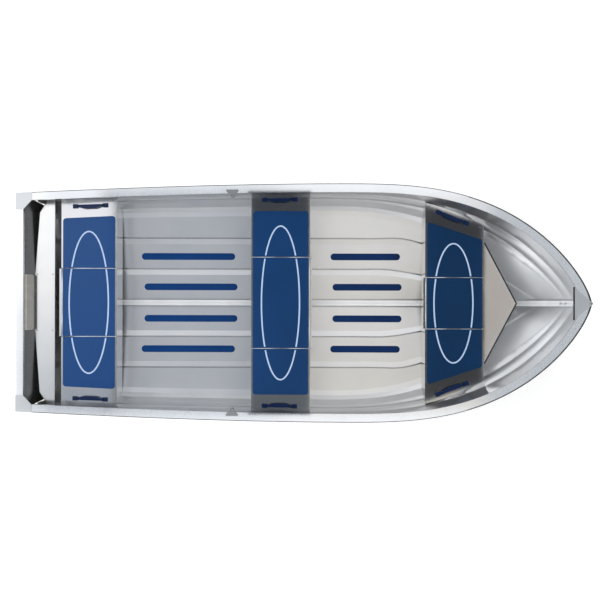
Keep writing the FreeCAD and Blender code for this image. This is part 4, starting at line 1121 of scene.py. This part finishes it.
    def card(self, name, corners, strength, port, starboard, one_sided=False):
        """A glowing card whose tone runs from starboard to port."""
        material, tree, shader, place = new_material("studio card, " + name)
        across = add_node(tree, "ShaderNodeSeparateXYZ", {"Vector": place}).outputs["Y"]
        tone = add_node(tree, "ShaderNodeMapRange", {"Value": across, "From Min": TONE_RUN[0],
                                                     "From Max": TONE_RUN[1]})
        colour = add_node(tree, "ShaderNodeMix", {"Factor": tone.outputs[0], 6: linear(starboard),
                                                  7: linear(port)}, data_type="RGBA")
        fill(tree, shader, {"Base Color": linear("#000000"), "Roughness": 1.0, "Specular IOR Level": 0.0,
                            "Emission Color": colour.outputs[2], "Emission Strength": strength})
        if one_sided:
            back = add_node(tree, "ShaderNodeNewGeometry").outputs["Backfacing"]
            front = add_node(tree, "ShaderNodeMapRange", {"Value": back, "To Min": 1.0, "To Max": 0.0})
            fill(tree, shader, {"Alpha": front.outputs[0]})
        plain = name.replace("'", "").replace(" ", "_")
        card = mesh_object("studio_card_" + plain, corners, [(0, 1, 2, 3)], material)
        for kind in ("camera", "diffuse", "shadow", "transmission"):
            setattr(card, "visible_" + kind, False)


# Add-on

OPERATORS = (BOAT_OT_finishes, BOAT_OT_pressed_sheet, BOAT_OT_lid_hems, BOAT_OT_mat_lines, BOAT_OT_rivets,
             BOAT_OT_breasthook_bolt, BOAT_OT_bow_edges, BOAT_OT_stage)
GROUPS = {"boat_colours": BoatColours, "boat_sheet": BoatSheetShaping, "boat_hems": BoatHemSizes,
          "boat_mats": BoatMatSizes, "boat_rivets": BoatRivetSizes, "boat_bow": BoatBowSizes,
          "boat_stage": BoatStage}


class BOAT_PT_panel(bpy.types.Panel):
    """Lists the boat's pieces and their sizes in the sidebar"""
    bl_label = "Rowing boat"
    bl_idname = "BOAT_PT_panel"
    bl_space_type = "VIEW_3D"
    bl_region_type = "UI"
    bl_category = "Rowing boat"

    def draw(self, context):
        for operator in OPERATORS:
            self.layout.operator(operator.bl_idname)
        for name in GROUPS:
            group = getattr(context.scene, name)
            for size in group.__annotations__:
                self.layout.prop(group, size)


CLASSES = tuple(GROUPS.values()) + OPERATORS + (BOAT_PT_panel,)


def register():
    for item in CLASSES:
        bpy.utils.register_class(item)
    for name, group in GROUPS.items():
        setattr(bpy.types.Scene, name, PointerProperty(type=group))


def unregister():
    for name in GROUPS:
        delattr(bpy.types.Scene, name)
    for item in reversed(CLASSES):
        bpy.utils.unregister_class(item)


def main():
    register()
    bpy.ops.boat.finishes()
    bpy.ops.boat.pressed_sheet()
    bpy.ops.boat.lid_hems()
    bpy.ops.boat.mat_lines()
    bpy.ops.boat.rivets()
    bpy.ops.boat.breasthook_bolt()
    bpy.ops.boat.bow_edges()
    bpy.ops.boat.stage()


if __name__ == "__main__":
    main()
